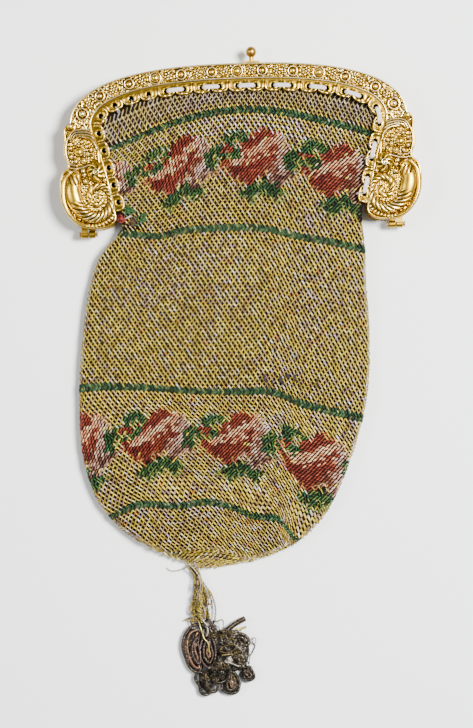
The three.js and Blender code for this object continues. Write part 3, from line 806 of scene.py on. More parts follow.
def sewing_rim(name, half, low, raised):
    """The strip of one half, from foot to foot."""
    reach = holes_a_side - 1
    steps = 40 if raised else 24
    parts = [pierced_scallop(k, low, raised, steps) for k in range(-reach, reach + 1)]
    points, faces = joined(parts)
    # The rim's colour follows its height: the raised shells are painted paler and the flat and
    # lower parts darker, as painted highlight and painted shade.
    shade = np.clip(0.36 + (points[:, 2] - low - rim_thickness) * 0.75, 0.3, 0.8)
    made = skin(name, points, faces, gilt, {"crest": shade})
    hard_edges(made, 60 if raised else 35)
    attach(made, "purse")
    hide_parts(half)


front_rim_low = (front_top + front_under - rim_thickness) / 2
sewing_rim("front_rim", "front_frame", front_rim_low, True)
back_rim_low = (plate - rim_thickness) / 2
sewing_rim("back_rim", "back_frame", back_rim_low, False)

# Hinges. At each foot two rolled knuckles, one from each half, turn on a headed pin of browned
# brass. Each knuckle is the rolled end of a short strap that is soldered to its half.
knuckle_radius = 1.3
knuckle_length = 2.3
pin_radius = 0.5
pin_head_radius = 1.05
pin_head_length = 0.5
clearance = 0.3
hinge_x = half_width - 9.4
hinge_y = foot_line - knuckle_radius - clearance
hinge_z = depth / 2
web = 0.9
round_sides = 24


def turned(profile, sides, centre, axis="x"):
    """A turned piece from a profile of [place along its axis, radius], closed at both ends."""
    angle = np.linspace(0, 2 * np.pi, sides, endpoint=False)
    profile = np.asarray(profile, float)
    along = np.repeat(profile[:, :1], sides, axis=1)
    up = profile[:, 1:] * np.cos(angle)
    over = profile[:, 1:] * np.sin(angle)
    order = [along, up, over] if axis == "x" else [over, along, up]
    return np.stack(order, axis=-1) + centre, tube_faces(len(profile), sides)


def block(x0, x1, y0, y1, z0, z1):
    """A plain block between two places each way."""
    ring = [(y0, z0), (y1, z0), (y1, z1), (y0, z1)]
    points = [[(x, y, z) for y, z in ring] for x in (x0, x1)]
    return np.array(points), tube_faces(2, 4)


def knuckle(x0, x1, web_low):
    """A rolled barrel and the strap that holds it to its half."""
    rounding = 0.15
    bore = pin_radius + clearance
    shoulder = knuckle_radius - rounding
    profile = [
        (x0, bore), (x0, shoulder), (x0 + rounding, knuckle_radius),
        (x1 - rounding, knuckle_radius), (x1, shoulder), (x1, bore),
    ]
    rolled = turned(profile, round_sides, (0, hinge_y, hinge_z))
    strap_up = block(x0 + 0.1, x1 - 0.1, hinge_y, foot_line + 1.6, web_low, web_low + web)
    return [rolled, strap_up]


gap = clearance / 2
for name, node, slot, x0, low in (
    ("front_knuckles", "front_frame", "gilt_front", hinge_x + gap, front_low + 0.1),
    ("back_knuckles", "back_frame", "gilt_back", hinge_x - gap - knuckle_length,
     half_depth - 0.1 - web),
):
    parts = knuckle(x0, x0 + knuckle_length, low)
    points, faces = joined(parts + [mirrored(part) for part in parts])
    made = hard_edges(skin(name, points, faces, gilt, {"crest": 0.5}))
    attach(made, "purse")
    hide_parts(node)

brass, place, shader = material("browned_brass", metallic=1.0)
blotch = place.noise(420.0, 4.0, 0.6).held(0.35, 0.68)
paint(shader, {
    "Base Color": blotch.blend((0.46, 0.27, 0.06), (0.22, 0.11, 0.02)),
    "Roughness": 0.26 + 0.2 * blotch,
})

pin_inner = knuckle_length + clearance * 1.5
pin_outer = pin_inner + pin_head_length
pin_profile = [
    (-pin_outer, 0.5), (-pin_outer + 0.12, pin_head_radius), (-pin_inner, pin_head_radius),
    (-pin_inner, pin_radius), (pin_inner, pin_radius), (pin_inner, pin_head_radius),
    (pin_outer - 0.12, pin_head_radius), (pin_outer, 0.5),
]
for name, side in (("right", 1), ("left", -1)):
    points, faces = turned(pin_profile, round_sides, (side * hinge_x, hinge_y, hinge_z))
    pin = hard_edges(skin("pin_" + name, points, faces, brass))
    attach(pin, "purse")
    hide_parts("hinge_pin_" + name)

# Push button. A turned brass ball on a neck stands in a small collar on the crown. Its stem goes
# through the wall, and a cross bar inside keeps it in.
crown_height = 2.4
button_x = 5.2
button_z = (front_low + front_under) / 2
ball_radius = 1.9
neck_radius = 1.2
stem_radius = 0.8
button_rise = 5.9
travel = 1.4
bar_long = 4.2
bar_thick = 0.8
collar_long = 5.6
collar_height = 0.7

bar_top = crown_height - wall - clearance
ball_y = crown_height + button_rise - ball_radius
neck_foot = crown_height + collar_height + travel + clearance
join_angle = math.asin(neck_radius * 0.72 / ball_radius)
profile = [
    (bar_top - bar_thick / 2, 0.3), (bar_top - bar_thick / 2, stem_radius),
    (neck_foot - 0.3, stem_radius), (neck_foot, neck_radius - 0.12),
    (neck_foot + 0.15, neck_radius), (neck_foot + 0.45, neck_radius),
    (neck_foot + 0.6, neck_radius * 0.8),
]
profile += [
    (ball_y - ball_radius * math.cos(angle), ball_radius * math.sin(angle))
    for angle in np.linspace(join_angle, math.pi - 0.06, 18)
]
button_parts = [
    turned(profile, 36, (button_x, 0, button_z), "y"),
    block(button_x - bar_long / 2, button_x + bar_long / 2, bar_top - bar_thick, bar_top,
          button_z - stem_radius - 0.2, button_z + stem_radius + 0.2),
]
points, faces = joined(button_parts)
button = hard_edges(skin("ball_button", points, faces, brass))
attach(button, "button")
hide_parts("push_button")

half_collar = collar_long / 2
bore = stem_radius + clearance
collar_z = bore + 0.3
collar_parts = [
    block(button_x + x0, button_x + x1, crown_height - wall / 2,
          crown_height + collar_height, button_z + z0, button_z + z1)
    for x0, x1, z0, z1 in (
        (-half_collar, -bore, -collar_z, collar_z), (bore, half_collar, -collar_z, collar_z),
        (-bore - 0.05, bore + 0.05, -collar_z, -bore), (-bore - 0.05, bore + 0.05, bore, collar_z),
    )
]
points, faces = joined(collar_parts)
collar = hard_edges(skin("collar", points, faces, gilt, {"crest": side_crest}))
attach(collar, "purse")
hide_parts("front_frame")

# Bag. It is crocheted in the round from silk, so it has no side seams below the frame. The cloth
# behind the stitches is one soft shell, limp and nearly flat, and open at the mouth between two
# panels that are sewn to the rims. The shell is coloured nearly black, as painted shade seen
# through the gaps between the stitches.
bag_drop = 120.3
left_reach = 59.6
right_reach = 43.9
bag_thickness = 8.2
under_rim = 0.7
mouth_top = 7.8
mouth_under = 1.2
mouth_edge = spring_line + inner_rise - rim_inset
neck_half = foot_half + under_rim
cloth_inset = 0.85
shell_steps = 120
panel_steps = 24
bag_rows = np.array([
    # drop, swell, left, right, puff, each a share of the whole
    (0.0, 0.0, 1.0, 1.0, 1.0), (0.03, 0.16, 1.0, 1.0, 1.0), (0.05, 0.31, 1.0, 1.0, 1.0),
    (0.095, 0.54, 1.0, 1.0, 1.0), (0.15, 0.67, 1.0, 0.99, 1.0), (0.21, 0.78, 1.0, 0.99, 1.0),
    (0.28, 0.86, 1.0, 1.0, 1.0), (0.36, 0.925, 1.0, 0.995, 1.0), (0.45, 0.98, 1.0, 0.98, 1.0),
    (0.54, 1.0, 1.0, 0.943, 1.0), (0.63, 1.0, 0.997, 0.87, 1.0), (0.72, 1.0, 0.964, 0.78, 0.99),
    (0.8, 1.0, 0.9, 0.68, 0.96), (0.87, 1.0, 0.784, 0.55, 0.9), (0.93, 1.0, 0.616, 0.358, 0.8),
    (0.97, 1.0, 0.453, 0.105, 0.66), (1.0, 1.0, 0.345, -0.3, 0.36),
])
bag_folds = [
    # across, down, turn, length, width, deep
    (-0.68, 0.04, 60, 0.2, 0.06, 0.14), (-0.25, 0.8, 80, 0.28, 0.08, 0.08),
    (0.22, 0.86, 110, 0.24, 0.08, 0.1), (-0.6, 0.78, 60, 0.26, 0.08, 0.07),
    (0.35, 0.6, 150, 0.34, 0.1, 0.06),
]
fine_rows = smooth_line(bag_rows, 10)


def row_value(drop, column):
    """A column of the table at a share of the bag's drop."""
    return np.interp(drop, np.maximum.accumulate(fine_rows[:, 0]), fine_rows[:, column])


def fold_depth(x, y):
    """How deep the folds press in at a place."""
    total = 0
    for across, down, turn, long, wide, deep in bag_folds:
        angle = math.radians(turn)
        dx = x / left_reach - across
        dy = (y - foot_line + down * bag_drop) / left_reach
        run = (dx * math.cos(angle) + dy * math.sin(angle)) / long
        off = (dy * math.cos(angle) - dx * math.sin(angle)) / wide
        total = total + deep * bag_thickness * np.exp(-run * run - off * off)
    return total


def bag_sides(y):
    """How far the bag reaches to the left and right at a height, inside the frame too."""
    drop = np.clip((foot_line - y) / bag_drop, 0, 1)
    swell = row_value(drop, 1)
    left = neck_half * (1 - swell) + left_reach * row_value(drop, 2) * swell
    right = neck_half * (1 - swell) + right_reach * row_value(drop, 3) * swell
    mouth = np.interp(-y, -rim_line[:, 1] - under_rim, rim_line[:, 0] + under_rim)
    inside = y > foot_line
    return np.where(inside, mouth, left), np.where(inside, mouth, right)


def bag_surface(x_share, turn, y, inset):
    """The cloth's outside at a turn round the bag, from its right side over the front."""
    drop = np.clip((foot_line - y) / bag_drop, 0, 1)
    left, right = bag_sides(y)
    left, right = left - inset, right - inset
    away = smooth_step(0.02, 0.15, drop)
    low = mouth_under * (1 - smooth_step(0, 0.1, drop))
    high = mouth_top * (1 - away) + bag_thickness * row_value(drop, 4) * away
    waist = low * 0.6 + high * 0.4
    # The front and the back close on each other at the foot.
    shut = smooth_step(-0.7, 1.0, np.clip((1.003 - drop) / 0.075, 0, 1))
    shut = shut * np.clip((1.006 - drop) / 0.05, 0, 1) ** 0.5
    low, high = waist + (low - waist) * shut, waist + (high - waist) * shut
    inset = inset * (0.3 + 0.7 * shut)
    square = 0.1 + 0.5 * away
    x = (right - left) / 2 + (left + right) / 2 * x_share
    up = np.sin(turn)
    rise = np.abs(up)
    over = waist + (high - inset - waist) * rise**square - fold_depth(x, y) * rise
    under = waist - (waist - low - inset) * rise ** (square * 0.7)
    return np.stack([x, y + 0 * x, np.where(up > 0, over, under)], axis=-1)


def side_share(turn):
    """How far to its right side a turn round the bag is, from -1 to 1."""
    return np.sign(np.cos(turn)) * np.abs(np.cos(turn)) ** 0.8


silk_shade, place, shader = material("painted_shade_cloth")
mottle = place.noise(380.0, 3.0)
# Nearly black: painted shade for the gaps between the stitches.
paint(shader, {
    "Base Color": mottle.blend((0.002, 0.001, 0.0004), (0.007, 0.0035, 0.0015)),
    "Roughness": 0.9 - 0.1 * mottle, "Specular IOR Level": 0.08,
})
shell_turns = np.linspace(0, 2 * np.pi, shell_steps, endpoint=False)
shell_y = foot_line - (bag_drop - cloth_inset) * (1 - (1 - np.linspace(0, 1, 90)) ** 1.3)
shell_y = np.concatenate([[foot_line + 0.6], shell_y])
# The shell is drawn in early at the foot, where the stitches close over it.
shut_y = shell_y - 1.2 * smooth_step(foot_line - 100, foot_line - bag_drop + 4, shell_y)
shell = np.stack(
    [bag_surface(side_share(shell_turns), shell_turns, np.full(shell_steps, y), cloth_inset)
     for y in shut_y]
)
shell[..., 1] = shell_y[:, None]
foot_face = (len(shell) - 1) * shell_steps + np.arange(shell_steps)
shell_faces = [grid_faces(len(shell), shell_steps, closed=True), foot_face[None, :]]
cloth_parts = [(shell, shell_faces)]
panel_y = np.linspace(foot_line - 0.5, mouth_edge + under_rim - 0.05, panel_steps)
panel_share = np.linspace(-1, 1, panel_steps)
panel_half = bag_sides(np.maximum(panel_y, foot_line + 1e-3))[0] - 0.1
panel_faces = grid_faces(panel_steps, panel_steps)
for z, order in ((mouth_top - cloth_inset, -1), (mouth_under + cloth_inset, 1)):
    panel = np.stack(
        [panel_half[:, None] * panel_share, panel_y[:, None] + 0 * panel_share,
         np.full((panel_steps, panel_steps), z)], axis=-1
    )
    cloth_parts.append((panel, [panel_faces[:, ::order]]))
points, faces = joined(cloth_parts)
painted_shade_cloth = skin("painted_shade_cloth", points, faces, silk_shade)
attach(painted_shade_cloth, "purse")
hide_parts("bag")

# Stitches. The rounds run level with four green stripes. In the ground each stitch is a cream or
# yellow strand that leans down to the right, held by an olive rung, and in the two rose borders
# finer strands lean the other way. Each stitch is two short strands of silk, one over the other.
ground_pitch = 1.66
border_pitch = 1.16
# Rounds, and how far to the right a stitch stands of the one above it.
ground_shifts = [(-10, 84, 94, 150), (0.68, 0.68, 1.1, 1.1)]
border_shifts = [(-10, 150), (-0.98, -0.98)]
round_drop = 1.14
longest_link = 2.6
wide_stretch = 1.35
ring_steps = 720
ring_inset = 0.42
net_end = -1
upper_roses = 24
lower_roses = 112
fourth_stripe = 122
strand_scatter = 0.055
rung_depth = 0.1
crossing_depth = 0.22
stripe_depth = 0.32
tone_cells = 60
# Rounds are counted from the first stripe. They start over the mouth's edge, and half rounds
# fill the foot.
rounds = np.concatenate([np.arange(-10, 141), np.arange(141, 147, 0.5)])
stripes = [
    # rounds down from the first stripe, then places along the stripe
    (-14, [(-60, -12.0), (-30, 0.5), (0, 3.4), (30, 0.0), (60, -12.0)]),
    (0, [(-60, -31.5), (-46.0, -25.4), (-38.2, -22.3), (-27.5, -18.0), (-13.4, -14.2),
         (0.7, -12.6), (14.6, -13.8), (28.5, -17.1), (42.4, -21.1), (49.3, -23.8), (60, -28.0)]),
    (36, [(-60, -54.0), (-41.1, -54.6), (-32.4, -56.0), (-27.1, -55.8), (-21.8, -54.4),
          (-11.3, -53.9), (2.7, -54.0), (9.7, -55.0), (20.1, -57.8), (30.5, -59.9),
          (43.0, -63.1), (60, -68.0)]),
    (86, [(-62, -108.3), (-51.7, -107.8), (-37.7, -108.7), (-16.8, -110.8), (0.7, -111.4),
          (5.0, -111.2), (11.2, -112.6), (18.1, -115.9), (28.5, -119.0), (39.9, -121.9),
          (60, -127.0)]),
    (116, [(-60, -149.0), (-35.3, -142.0), (-20.0, -142.2), (-6.3, -143.5), (5.0, -147.0),
           (16.9, -153.0), (25.0, -157.0), (40.0, -163.0), (60, -170.0)]),
    (122, [(-62, -159.0), (-50.4, -154.1), (-44.4, -151.1), (-38.5, -149.5), (-32.7, -150.1),
           (-28.1, -150.7), (-24.0, -150.6), (-18.1, -149.7), (-13.5, -149.8), (-8.8, -151.2),
           (-4.8, -152.8), (-0.8, -154.7), (2.7, -155.7), (7.9, -155.8), (10.2, -157.1),
           (12.4, -160.1), (14.7, -163.4), (16.7, -164.9), (20, -166.6), (30, -169), (60, -176)]),
    (148, [(-62, -186.0), (-45, -181.5), (-25, -178.5), (-12, -179.5), (0, -182.5),
           (17, -194.5), (30, -199.0), (60, -206)]),
]
stripe_rounds = np.array([number for number, line in stripes], float)
table_x = np.linspace(-62, 62, 249)
table_y = [np.interp(table_x, *smooth_line(line, 8).T) for number, line in stripes]
mean_of_five = np.ones(5) / 5
table_y = np.array(
    [np.convolve(np.pad(row, 2, mode="edge"), mean_of_five, "valid") for row in table_y]
)


def round_height(number, x):
    """Where a round runs, at places across."""
    index = np.clip(np.searchsorted(stripe_rounds, number) - 1, 0, len(stripe_rounds) - 2)
    share = (number - stripe_rounds[index]) / (stripe_rounds[index + 1] - stripe_rounds[index])
    high = np.interp(x, table_x, table_y[index])
    return high + (np.interp(x, table_x, table_y[index + 1]) - high) * share


rose_chart = [
    ".......rr......",
    ".GGG..rrrrc....",
    "GGGGG.rrrccp...",
    "GGGGGrrrcccp...",
    ".GG.rrrcccrpp..",
    "rr..rrcccrcppGG",
    "rrGGrccccrcpGGG",
    ".GGGcccrcrrpGGG",
    "GGGcccrcrrbpGGG",
    "r.cccrcrrbppGG.",
    "rrccdrrrbbppGG.",
    "rrddrrrrbbppmG.",
    ".rddrrrrbbpmmm.",
    ".dddrrrbbpmmmm.",
    "..ddrrrb.mmmm..",
    "..drrrr.Gmmm...",
    "....rr.GGGm....",
    ".....GGGGGG....",
    "....GGGgGGGG...",
    "...GGGGGgGGG...",
    "...GGGGG.GG....",
    "....GGG...G....",
    ".....G.........",
]
chart = np.array([list(row) for row in rose_chart])
rose_repeat = 27.9
borders = [
    # first round, and where a repeat starts
    (7, -34.6),
    (94, -45.6),
]
silks = {
    # red, dark red, coral, pink, brown, mauve, green, light green, and the stripes' green
    "r": [(0.183, 0.0183, 0.0073), (0.134, 0.0122, 0.00548), (0.256, 0.0426, 0.0183),
          (0.207, 0.0274, 0.0073)],
    "d": [(0.133, 0.00926, 0.00398), (0.0859, 0.00597, 0.00265), (0.199, 0.0185, 0.00663)],
    "c": [(0.756, 0.414, 0.198), (0.648, 0.288, 0.135), (0.792, 0.54, 0.306),
          (0.54, 0.18, 0.081)],
    "p": [(0.425, 0.221, 0.145), (0.561, 0.34, 0.238), (0.255, 0.102, 0.0595),
          (0.629, 0.459, 0.357)],
    "b": [(0.185, 0.0431, 0.0166), (0.279, 0.0926, 0.0464), (0.113, 0.0199, 0.00926),
          (0.398, 0.199, 0.113)],
    "m": [(0.125, 0.0429, 0.0312), (0.265, 0.133, 0.0858), (0.0702, 0.0234, 0.0172),
          (0.39, 0.234, 0.156)],
    "G": [(0.0122, 0.0578, 0.00952), (0.034, 0.102, 0.0204), (0.00544, 0.0306, 0.00612),
          (0.0816, 0.136, 0.0272), (0.0136, 0.068, 0.0272)],
    "g": [(0.0748, 0.136, 0.0272), (0.204, 0.231, 0.0612), (0.0238, 0.0748, 0.0136)],
    "S": [(0.00558, 0.0279, 0.00816), (0.0112, 0.0446, 0.013), (0.0372, 0.0816, 0.0298),
          (0.00223, 0.0149, 0.00446)],
}
ground_silks = np.array([
    (0.80, 0.58, 0.06), (0.84, 0.66, 0.16), (0.72, 0.48, 0.04), (0.86, 0.74, 0.36),
    (0.60, 0.46, 0.04), (0.50, 0.34, 0.04), (0.62, 0.44, 0.22), (0.40, 0.24, 0.06),
])
mauve_silks = np.array([
    (0.50, 0.37, 0.31), (0.62, 0.50, 0.42), (0.30, 0.18, 0.15), (0.66, 0.55, 0.46),
    (0.52, 0.38, 0.14), (0.26, 0.15, 0.11),
])
rung_silks = np.array([
    (0.24, 0.17, 0.010), (0.18, 0.13, 0.008), (0.34, 0.25, 0.02), (0.19, 0.10, 0.03),
    (0.44, 0.34, 0.03), (0.12, 0.08, 0.008), (0.26, 0.17, 0.09),
])
pale_silk = (0.92, 0.86, 0.84)
lilac_silk = (0.62, 0.44, 0.50)
orange_silk = (0.74, 0.26, 0.03)

silk, place, shader = material("silk_twist")
# The silk value holds each strand's dye, with painted shade at the strands' tips, on the borders'
# crossing strands and on the net's rungs.
dye_and_shade = place.mesh_value("silk", "Color")
twist = place.mesh_value("twist", "Fac")
ply = twist.node("ShaderNodeMath", {"operation": "SINE"}, {0: 6.28 * twist})
fibre = place.noise(3200.0, 2.0)
# The strands are darkened at random along their fibres, and in light and dark stripes along the
# turns of the ply: these stripes are painted shade in the ply's grooves and painted highlight on
# its ridges.
shaded = (0.34 * fibre - 0.06 * ply).blend(dye_and_shade, (0.0, 0.0, 0.0))
fuzz = (fibre + 0.5 * ply).bump(0.5, 0.0001)
paint(shader, {"Base Color": shaded, "Roughness": 0.46 + 0.2 * fibre, "Normal": fuzz,
               "Specular IOR Level": 0.25})

# Each strand's rings: a place along it, and the share of its thickness there.
over_rings = [(-0.5, 0.0), (-0.36, 0.78), (-0.05, 1.0), (0.3, 0.86), (0.5, 0.0)]
under_rings = [(-0.5, 0.0), (-0.34, 0.9), (0.34, 0.9), (0.5, 0.0)]


def loops(middles, runs, ups, thick, lift, corners, rings, dyes_and_shade):
    """Short strands of silk, each closed and tapered at its ends, one for each middle."""
    sides = np.cross(runs, ups)
    sides /= np.linalg.norm(sides, axis=1)[:, None]
    angle = np.linspace(0, 2 * np.pi, corners, endpoint=False)
    points, shade, turn = [], [], []
    for along_run, share in rings:
        bow = lift * (1 - (2 * along_run) ** 2)
        centre = middles + runs * along_run + ups * bow
        for a in angle[: 1 if share == 0 else corners]:
            reach = thick[:, None] * share
            points.append(centre + sides * reach * math.cos(a) + ups * reach * math.sin(a) * 0.85)
            # The tips, where each strand dives into the cloth, get three tenths of its colour:
            # painted shade.
            shade.append(dyes_and_shade * (0.3 if share == 0 else 1.0))
            turn.append(np.full(len(middles), along_run * 3 + a / 6.28))  # turns of the ply
    last = 1 + (len(rings) - 2) * corners
    ends, sleeves = [], []
    for c in range(corners):
        d = (c + 1) % corners
        ends.append((0, 1 + d, 1 + c))
        ends.append((last, last - corners + c, last - corners + d))
        for r in range(len(rings) - 3):
            at = 1 + r * corners
            sleeves.append((at + c, at + d, at + corners + d, at + corners + c))
    offsets = (np.arange(len(middles)) * len(points))[:, None, None]
    faces = [(np.array(rows)[None] + offsets).reshape(-1, len(rows[0])) for rows in (ends, sleeves)]
    stacked = [np.stack(rows, axis=1) for rows in (points, shade, turn)]
    return stacked[0].reshape(-1, 3), faces, stacked[1].reshape(-1, 3), stacked[2].ravel()


chance = np.random.default_rng(21)
tone_field = chance.random((tone_cells, tone_cells))


def tone(x, y, size):
    """A slow wander of tone over the bag, from 0 to 1."""
    u, v = (x + 80) / size, (y + 200) / size
    i, j = np.floor(u).astype(int), np.floor(v).astype(int)
    su, sv = smooth_step(0, 1, u - i), smooth_step(0, 1, v - j)
    i, j, next_i, next_j = (cell % tone_cells for cell in (i, j, i + 1, j + 1))
    low = tone_field[i, j] * (1 - su) + tone_field[next_i, j] * su
    high = tone_field[i, next_j] * (1 - su) + tone_field[next_i, next_j] * su
    return low * (1 - sv) + high * sv


ring_turns = np.linspace(-np.pi / 2, 3 * np.pi / 2, ring_steps + 1)
ring_share = side_share(ring_turns)


def cloth_ring(number):
    """A round's line right round the bag, from the middle of the back by the right side."""
    y = np.full(ring_steps + 1, round_height(number, 0.0))
    for _ in range(6):
        left, right = bag_sides(y)
        x = (right - left) / 2 + (left + right) / 2 * ring_share
        y = 0.5 * y + 0.5 * round_height(number, x)
    return bag_surface(ring_share, ring_turns, round_height(number, x), ring_inset)


def walk_round(ring):
    """The way walked at each point of a round, and where it crosses the middle of the front."""
    walked = walk_along(ring)
    front = slice(ring_steps // 4, 3 * ring_steps // 4 + 1)
    return walked, np.interp(0, ring[front, 0][::-1], walked[front][::-1])


def laid_stitches(pitch, shifts):
    """Every stitch of a lattice: its place, its directions along, down and out, its round, and
    its link to the next round's stitch, or straight down where that stitch is too far off."""
    found = []
    moved = 0
    below = cloth_ring(rounds[0])
    for number, following in zip(rounds, rounds[1:]):
        ring, below = below, cloth_ring(following)
        walked, middle = walk_round(ring)
        walked_below, middle_below = walk_round(below)
        reach = max(middle, walked[-1] - middle)
        steps = np.arange(-int(reach / pitch) - 2, int(reach / pitch) + 3)
        step_on = np.interp(following, *shifts) * (following - number)
        spots = middle - steps * pitch - moved
        spots = spots[(spots > 0.8) & (spots < walked[-1] - 0.8)]
        link = pick_on(below, walked_below, spots - middle + middle_below - step_on)
        at = pick_on(ring, walked, spots)
        turn = np.interp(spots, walked, ring_turns)
        run = pick_on(ring, walked, spots - 0.5) - pick_on(ring, walked, spots + 0.5)
        run /= np.linalg.norm(run, axis=1)[:, None]
        down = pick_on(below, ring_turns, turn) - at
        down -= run * (down * run).sum(axis=1)[:, None]
        link -= at
        too_long = np.linalg.norm(link, axis=1) > longest_link
        link[too_long] = (run * step_on + down)[too_long]
        up = np.cross(run, -down)
        up /= np.linalg.norm(up, axis=1)[:, None] + 1e-9
        keep = (at[:, 1] > foot_line - bag_drop - 0.2) & (at[:, 1] < mouth_edge + 0.3)
        keep &= ~((at[:, 1] > foot_line + 0.5) & (np.abs(np.sin(turn)) < 0.12))
        keep &= np.linalg.norm(down, axis=1) > 0.3
        numbers = np.full(len(spots), number)
        found.append([rows[keep] for rows in (at, run, down, up, numbers, link)])
        moved = (moved + step_on) % pitch
    return [np.concatenate(rows) for rows in zip(*found)]


stripe_parts = (0, 1, 36, 37, 86, 87, 122, 123)


def charted(x, number):
    """The chart's letter for each stitch, S on a stripe, and a point on the ground."""
    letter = np.full(len(x), ".")
    for first, begins in borders:
        row = np.floor(number).astype(int) - first
        column = ((x - begins) / rose_repeat % 1 * chart.shape[1]).astype(int)
        inside = (row >= 0) & (row < len(chart))
        letter[inside] = chart[row[inside], column[inside]]
    letter[np.isin(number, stripe_parts)] = "S"
    return letter


def shades_of(options, count):
    """So many picks from a list of dyes."""
    return np.array(options)[chance.integers(0, len(options), count)]


def wandering(spots, runs, ups, amount):
    """Places and runs, each a little off its true one."""
    sway = np.cross(ups, runs) * chance.normal(0, amount, (len(spots), 1))
    return spots + chance.normal(0, strand_scatter, spots.shape), runs + sway


strands = []
spot, run, down, up, number, lean = laid_stitches(ground_pitch, ground_shifts)
start = spot[:, 0] + chance.normal(0, 0.4, len(spot))
chosen = (charted(start, number) == ".") | (charted(start + 0.7, number + 1) == ".")
chosen &= ~np.isin(number, stripe_parts)
above_stripe = np.isin(number, stripe_parts[::2])
chosen |= above_stripe
spot = spot - up * stripe_depth * above_stripe[:, None]
spot, run, down, up, number, lean = (
    rows[chosen] for rows in (spot, run, down, up, number, lean)
)
count = len(spot)
net = number < net_end
mood = tone(spot[:, 0], spot[:, 1], 17.0)
silvery = tone(spot[:, 0] + 300, spot[:, 1] + 500, 13.0)
over_dye = ground_silks[(chance.random(count) ** (0.6 + 1.4 * mood) * 8).astype(int)]
near_roses = (np.abs(number - upper_roses) < 7) | (np.abs(number - lower_roses) < 8)
mauve = chance.random(count) < 0.05 + 0.2 * (silvery > 0.62) + 0.1 * near_roses
over_dye[mauve] = shades_of(mauve_silks, mauve.sum())
luck = chance.random(count)
over_dye[luck > 0.99 - 0.3 * np.clip(silvery - 0.72, 0, 1)] = pale_silk
over_dye[(luck < 0.015) | ((luck < 0.1) & (silvery > 0.74))] = lilac_silk
over_dye[(luck > 0.02) & (luck < 0.028)] = orange_silk
# A patch under the first stripe, in the middle of the front, has bright rows.
patch = (number > 1) & (number < 9) & (np.abs(spot[:, 0] - 1) < 22) & (spot[:, 2] > 4)
over_dye[patch & (number % 2 == 1) & (luck > 0.2)] = pale_silk
under_dye = shades_of(rung_silks, count)
over_dye[net] = over_dye[net] * 0.45 + np.array([0.16, 0.12, 0.07])
# In the net each rung is its stitch's own silk at six tenths of its brightness: painted shade, as
# it lies under the strand.
under_dye[net] = over_dye[net] * 0.6
foot_shade = np.where(number > fourth_stripe, 0.88, 1)[:, None]
over_dye *= chance.uniform(0.66, 1.08, (count, 1)) * foot_shade
under_dye *= chance.uniform(0.6, 1.3, (count, 1))
rise = run * ground_pitch - lean
stretch = np.clip(np.linalg.norm(down, axis=1) / round_drop, 0.9, 1.6)
thick = np.where(net, 0.19, 0.215) * stretch * chance.uniform(0.8, 1.2, count)
places, runs = wandering(spot + lean / 2, lean, up, 0.09)
strands.append((places, runs * 1.12, up, thick, 0.16, over_rings, over_dye, number))
places, runs = wandering(spot + rise / 2 - up * rung_depth, rise, up, 0.12)
thick = np.where(net, 0.21, 0.27) * stretch * chance.uniform(0.82, 1.18, count)
strands.append((places, runs * 1.1, up, thick, 0.06, under_rings, under_dye, number))
# Where the rounds stand far apart a level rung fills the gap between them.
wide = stretch > wide_stretch
level = run * ground_pitch * 0.95
places, runs = wandering(spot + down * 0.5 - up * rung_depth, level, up, 0.15)
strands.append((places[wide], runs[wide], up[wide], thick[wide] * 0.9, 0.1, under_rings,
                under_dye[wide], number[wide]))

spot, run, down, up, number, _ = laid_stitches(border_pitch, border_shifts)
off_row = number + np.round(chance.normal(0, 0.35, len(spot)))
letter = charted(spot[:, 0] + chance.normal(0, 0.45, len(spot)), off_row)
ahead = charted(spot[:, 0] - 0.9, number + 1)
on_stripe = np.isin(number, stripe_parts)
letter = np.where(on_stripe, "S", np.where(letter == "S", ".", letter))
letter = np.where((letter == ".") & (ahead != "S"), ahead, letter)
chosen = letter != "."
spot, run, down, up, number, letter = (
    rows[chosen] for rows in (spot, run, down, up, number, letter)
)
count = len(spot)
over_dye = np.zeros((count, 3))
for key, options in silks.items():
    over_dye[letter == key] = shades_of(options, (letter == key).sum())
strays = (letter != "S") & (chance.random(count) < 0.012)
over_dye[strays] = shades_of(ground_silks[:3], strays.sum())
over_dye *= chance.uniform(0.82, 1.15, (count, 1))
leaning_back = np.isin(number, stripe_parts[::2]) | (
    np.isin(letter, ("G", "g")) & (chance.random(count) < 0.25)
)
stroke = run * 0.98 - down
stroke = np.where(leaning_back[:, None], run * 0.9 + down, stroke)
stretch = np.clip(np.linalg.norm(down, axis=1) / round_drop, 0.9, 1.6)
thick = np.where(letter == "S", 0.39, 0.24) * stretch * chance.uniform(0.88, 1.12, count)
places, runs = wandering(spot + down * 0.5, stroke, up, 0.07)
long = np.where(letter == "S", 1.35, 1.15)[:, None]
strands.append((places, runs * long, up, thick, 0.14, over_rings, over_dye, number))
# Under each stitch a crossing strand of the same silk lies lower, at three tenths of its
# brightness: painted shade.
crossing = run * 0.6 + down
places, runs = wandering(spot + down * 0.5 - up * crossing_depth, crossing, up, 0.1)
strands.append((places, runs, up, thick * 0.8, 0.0, under_rings, over_dye * 0.3, number))

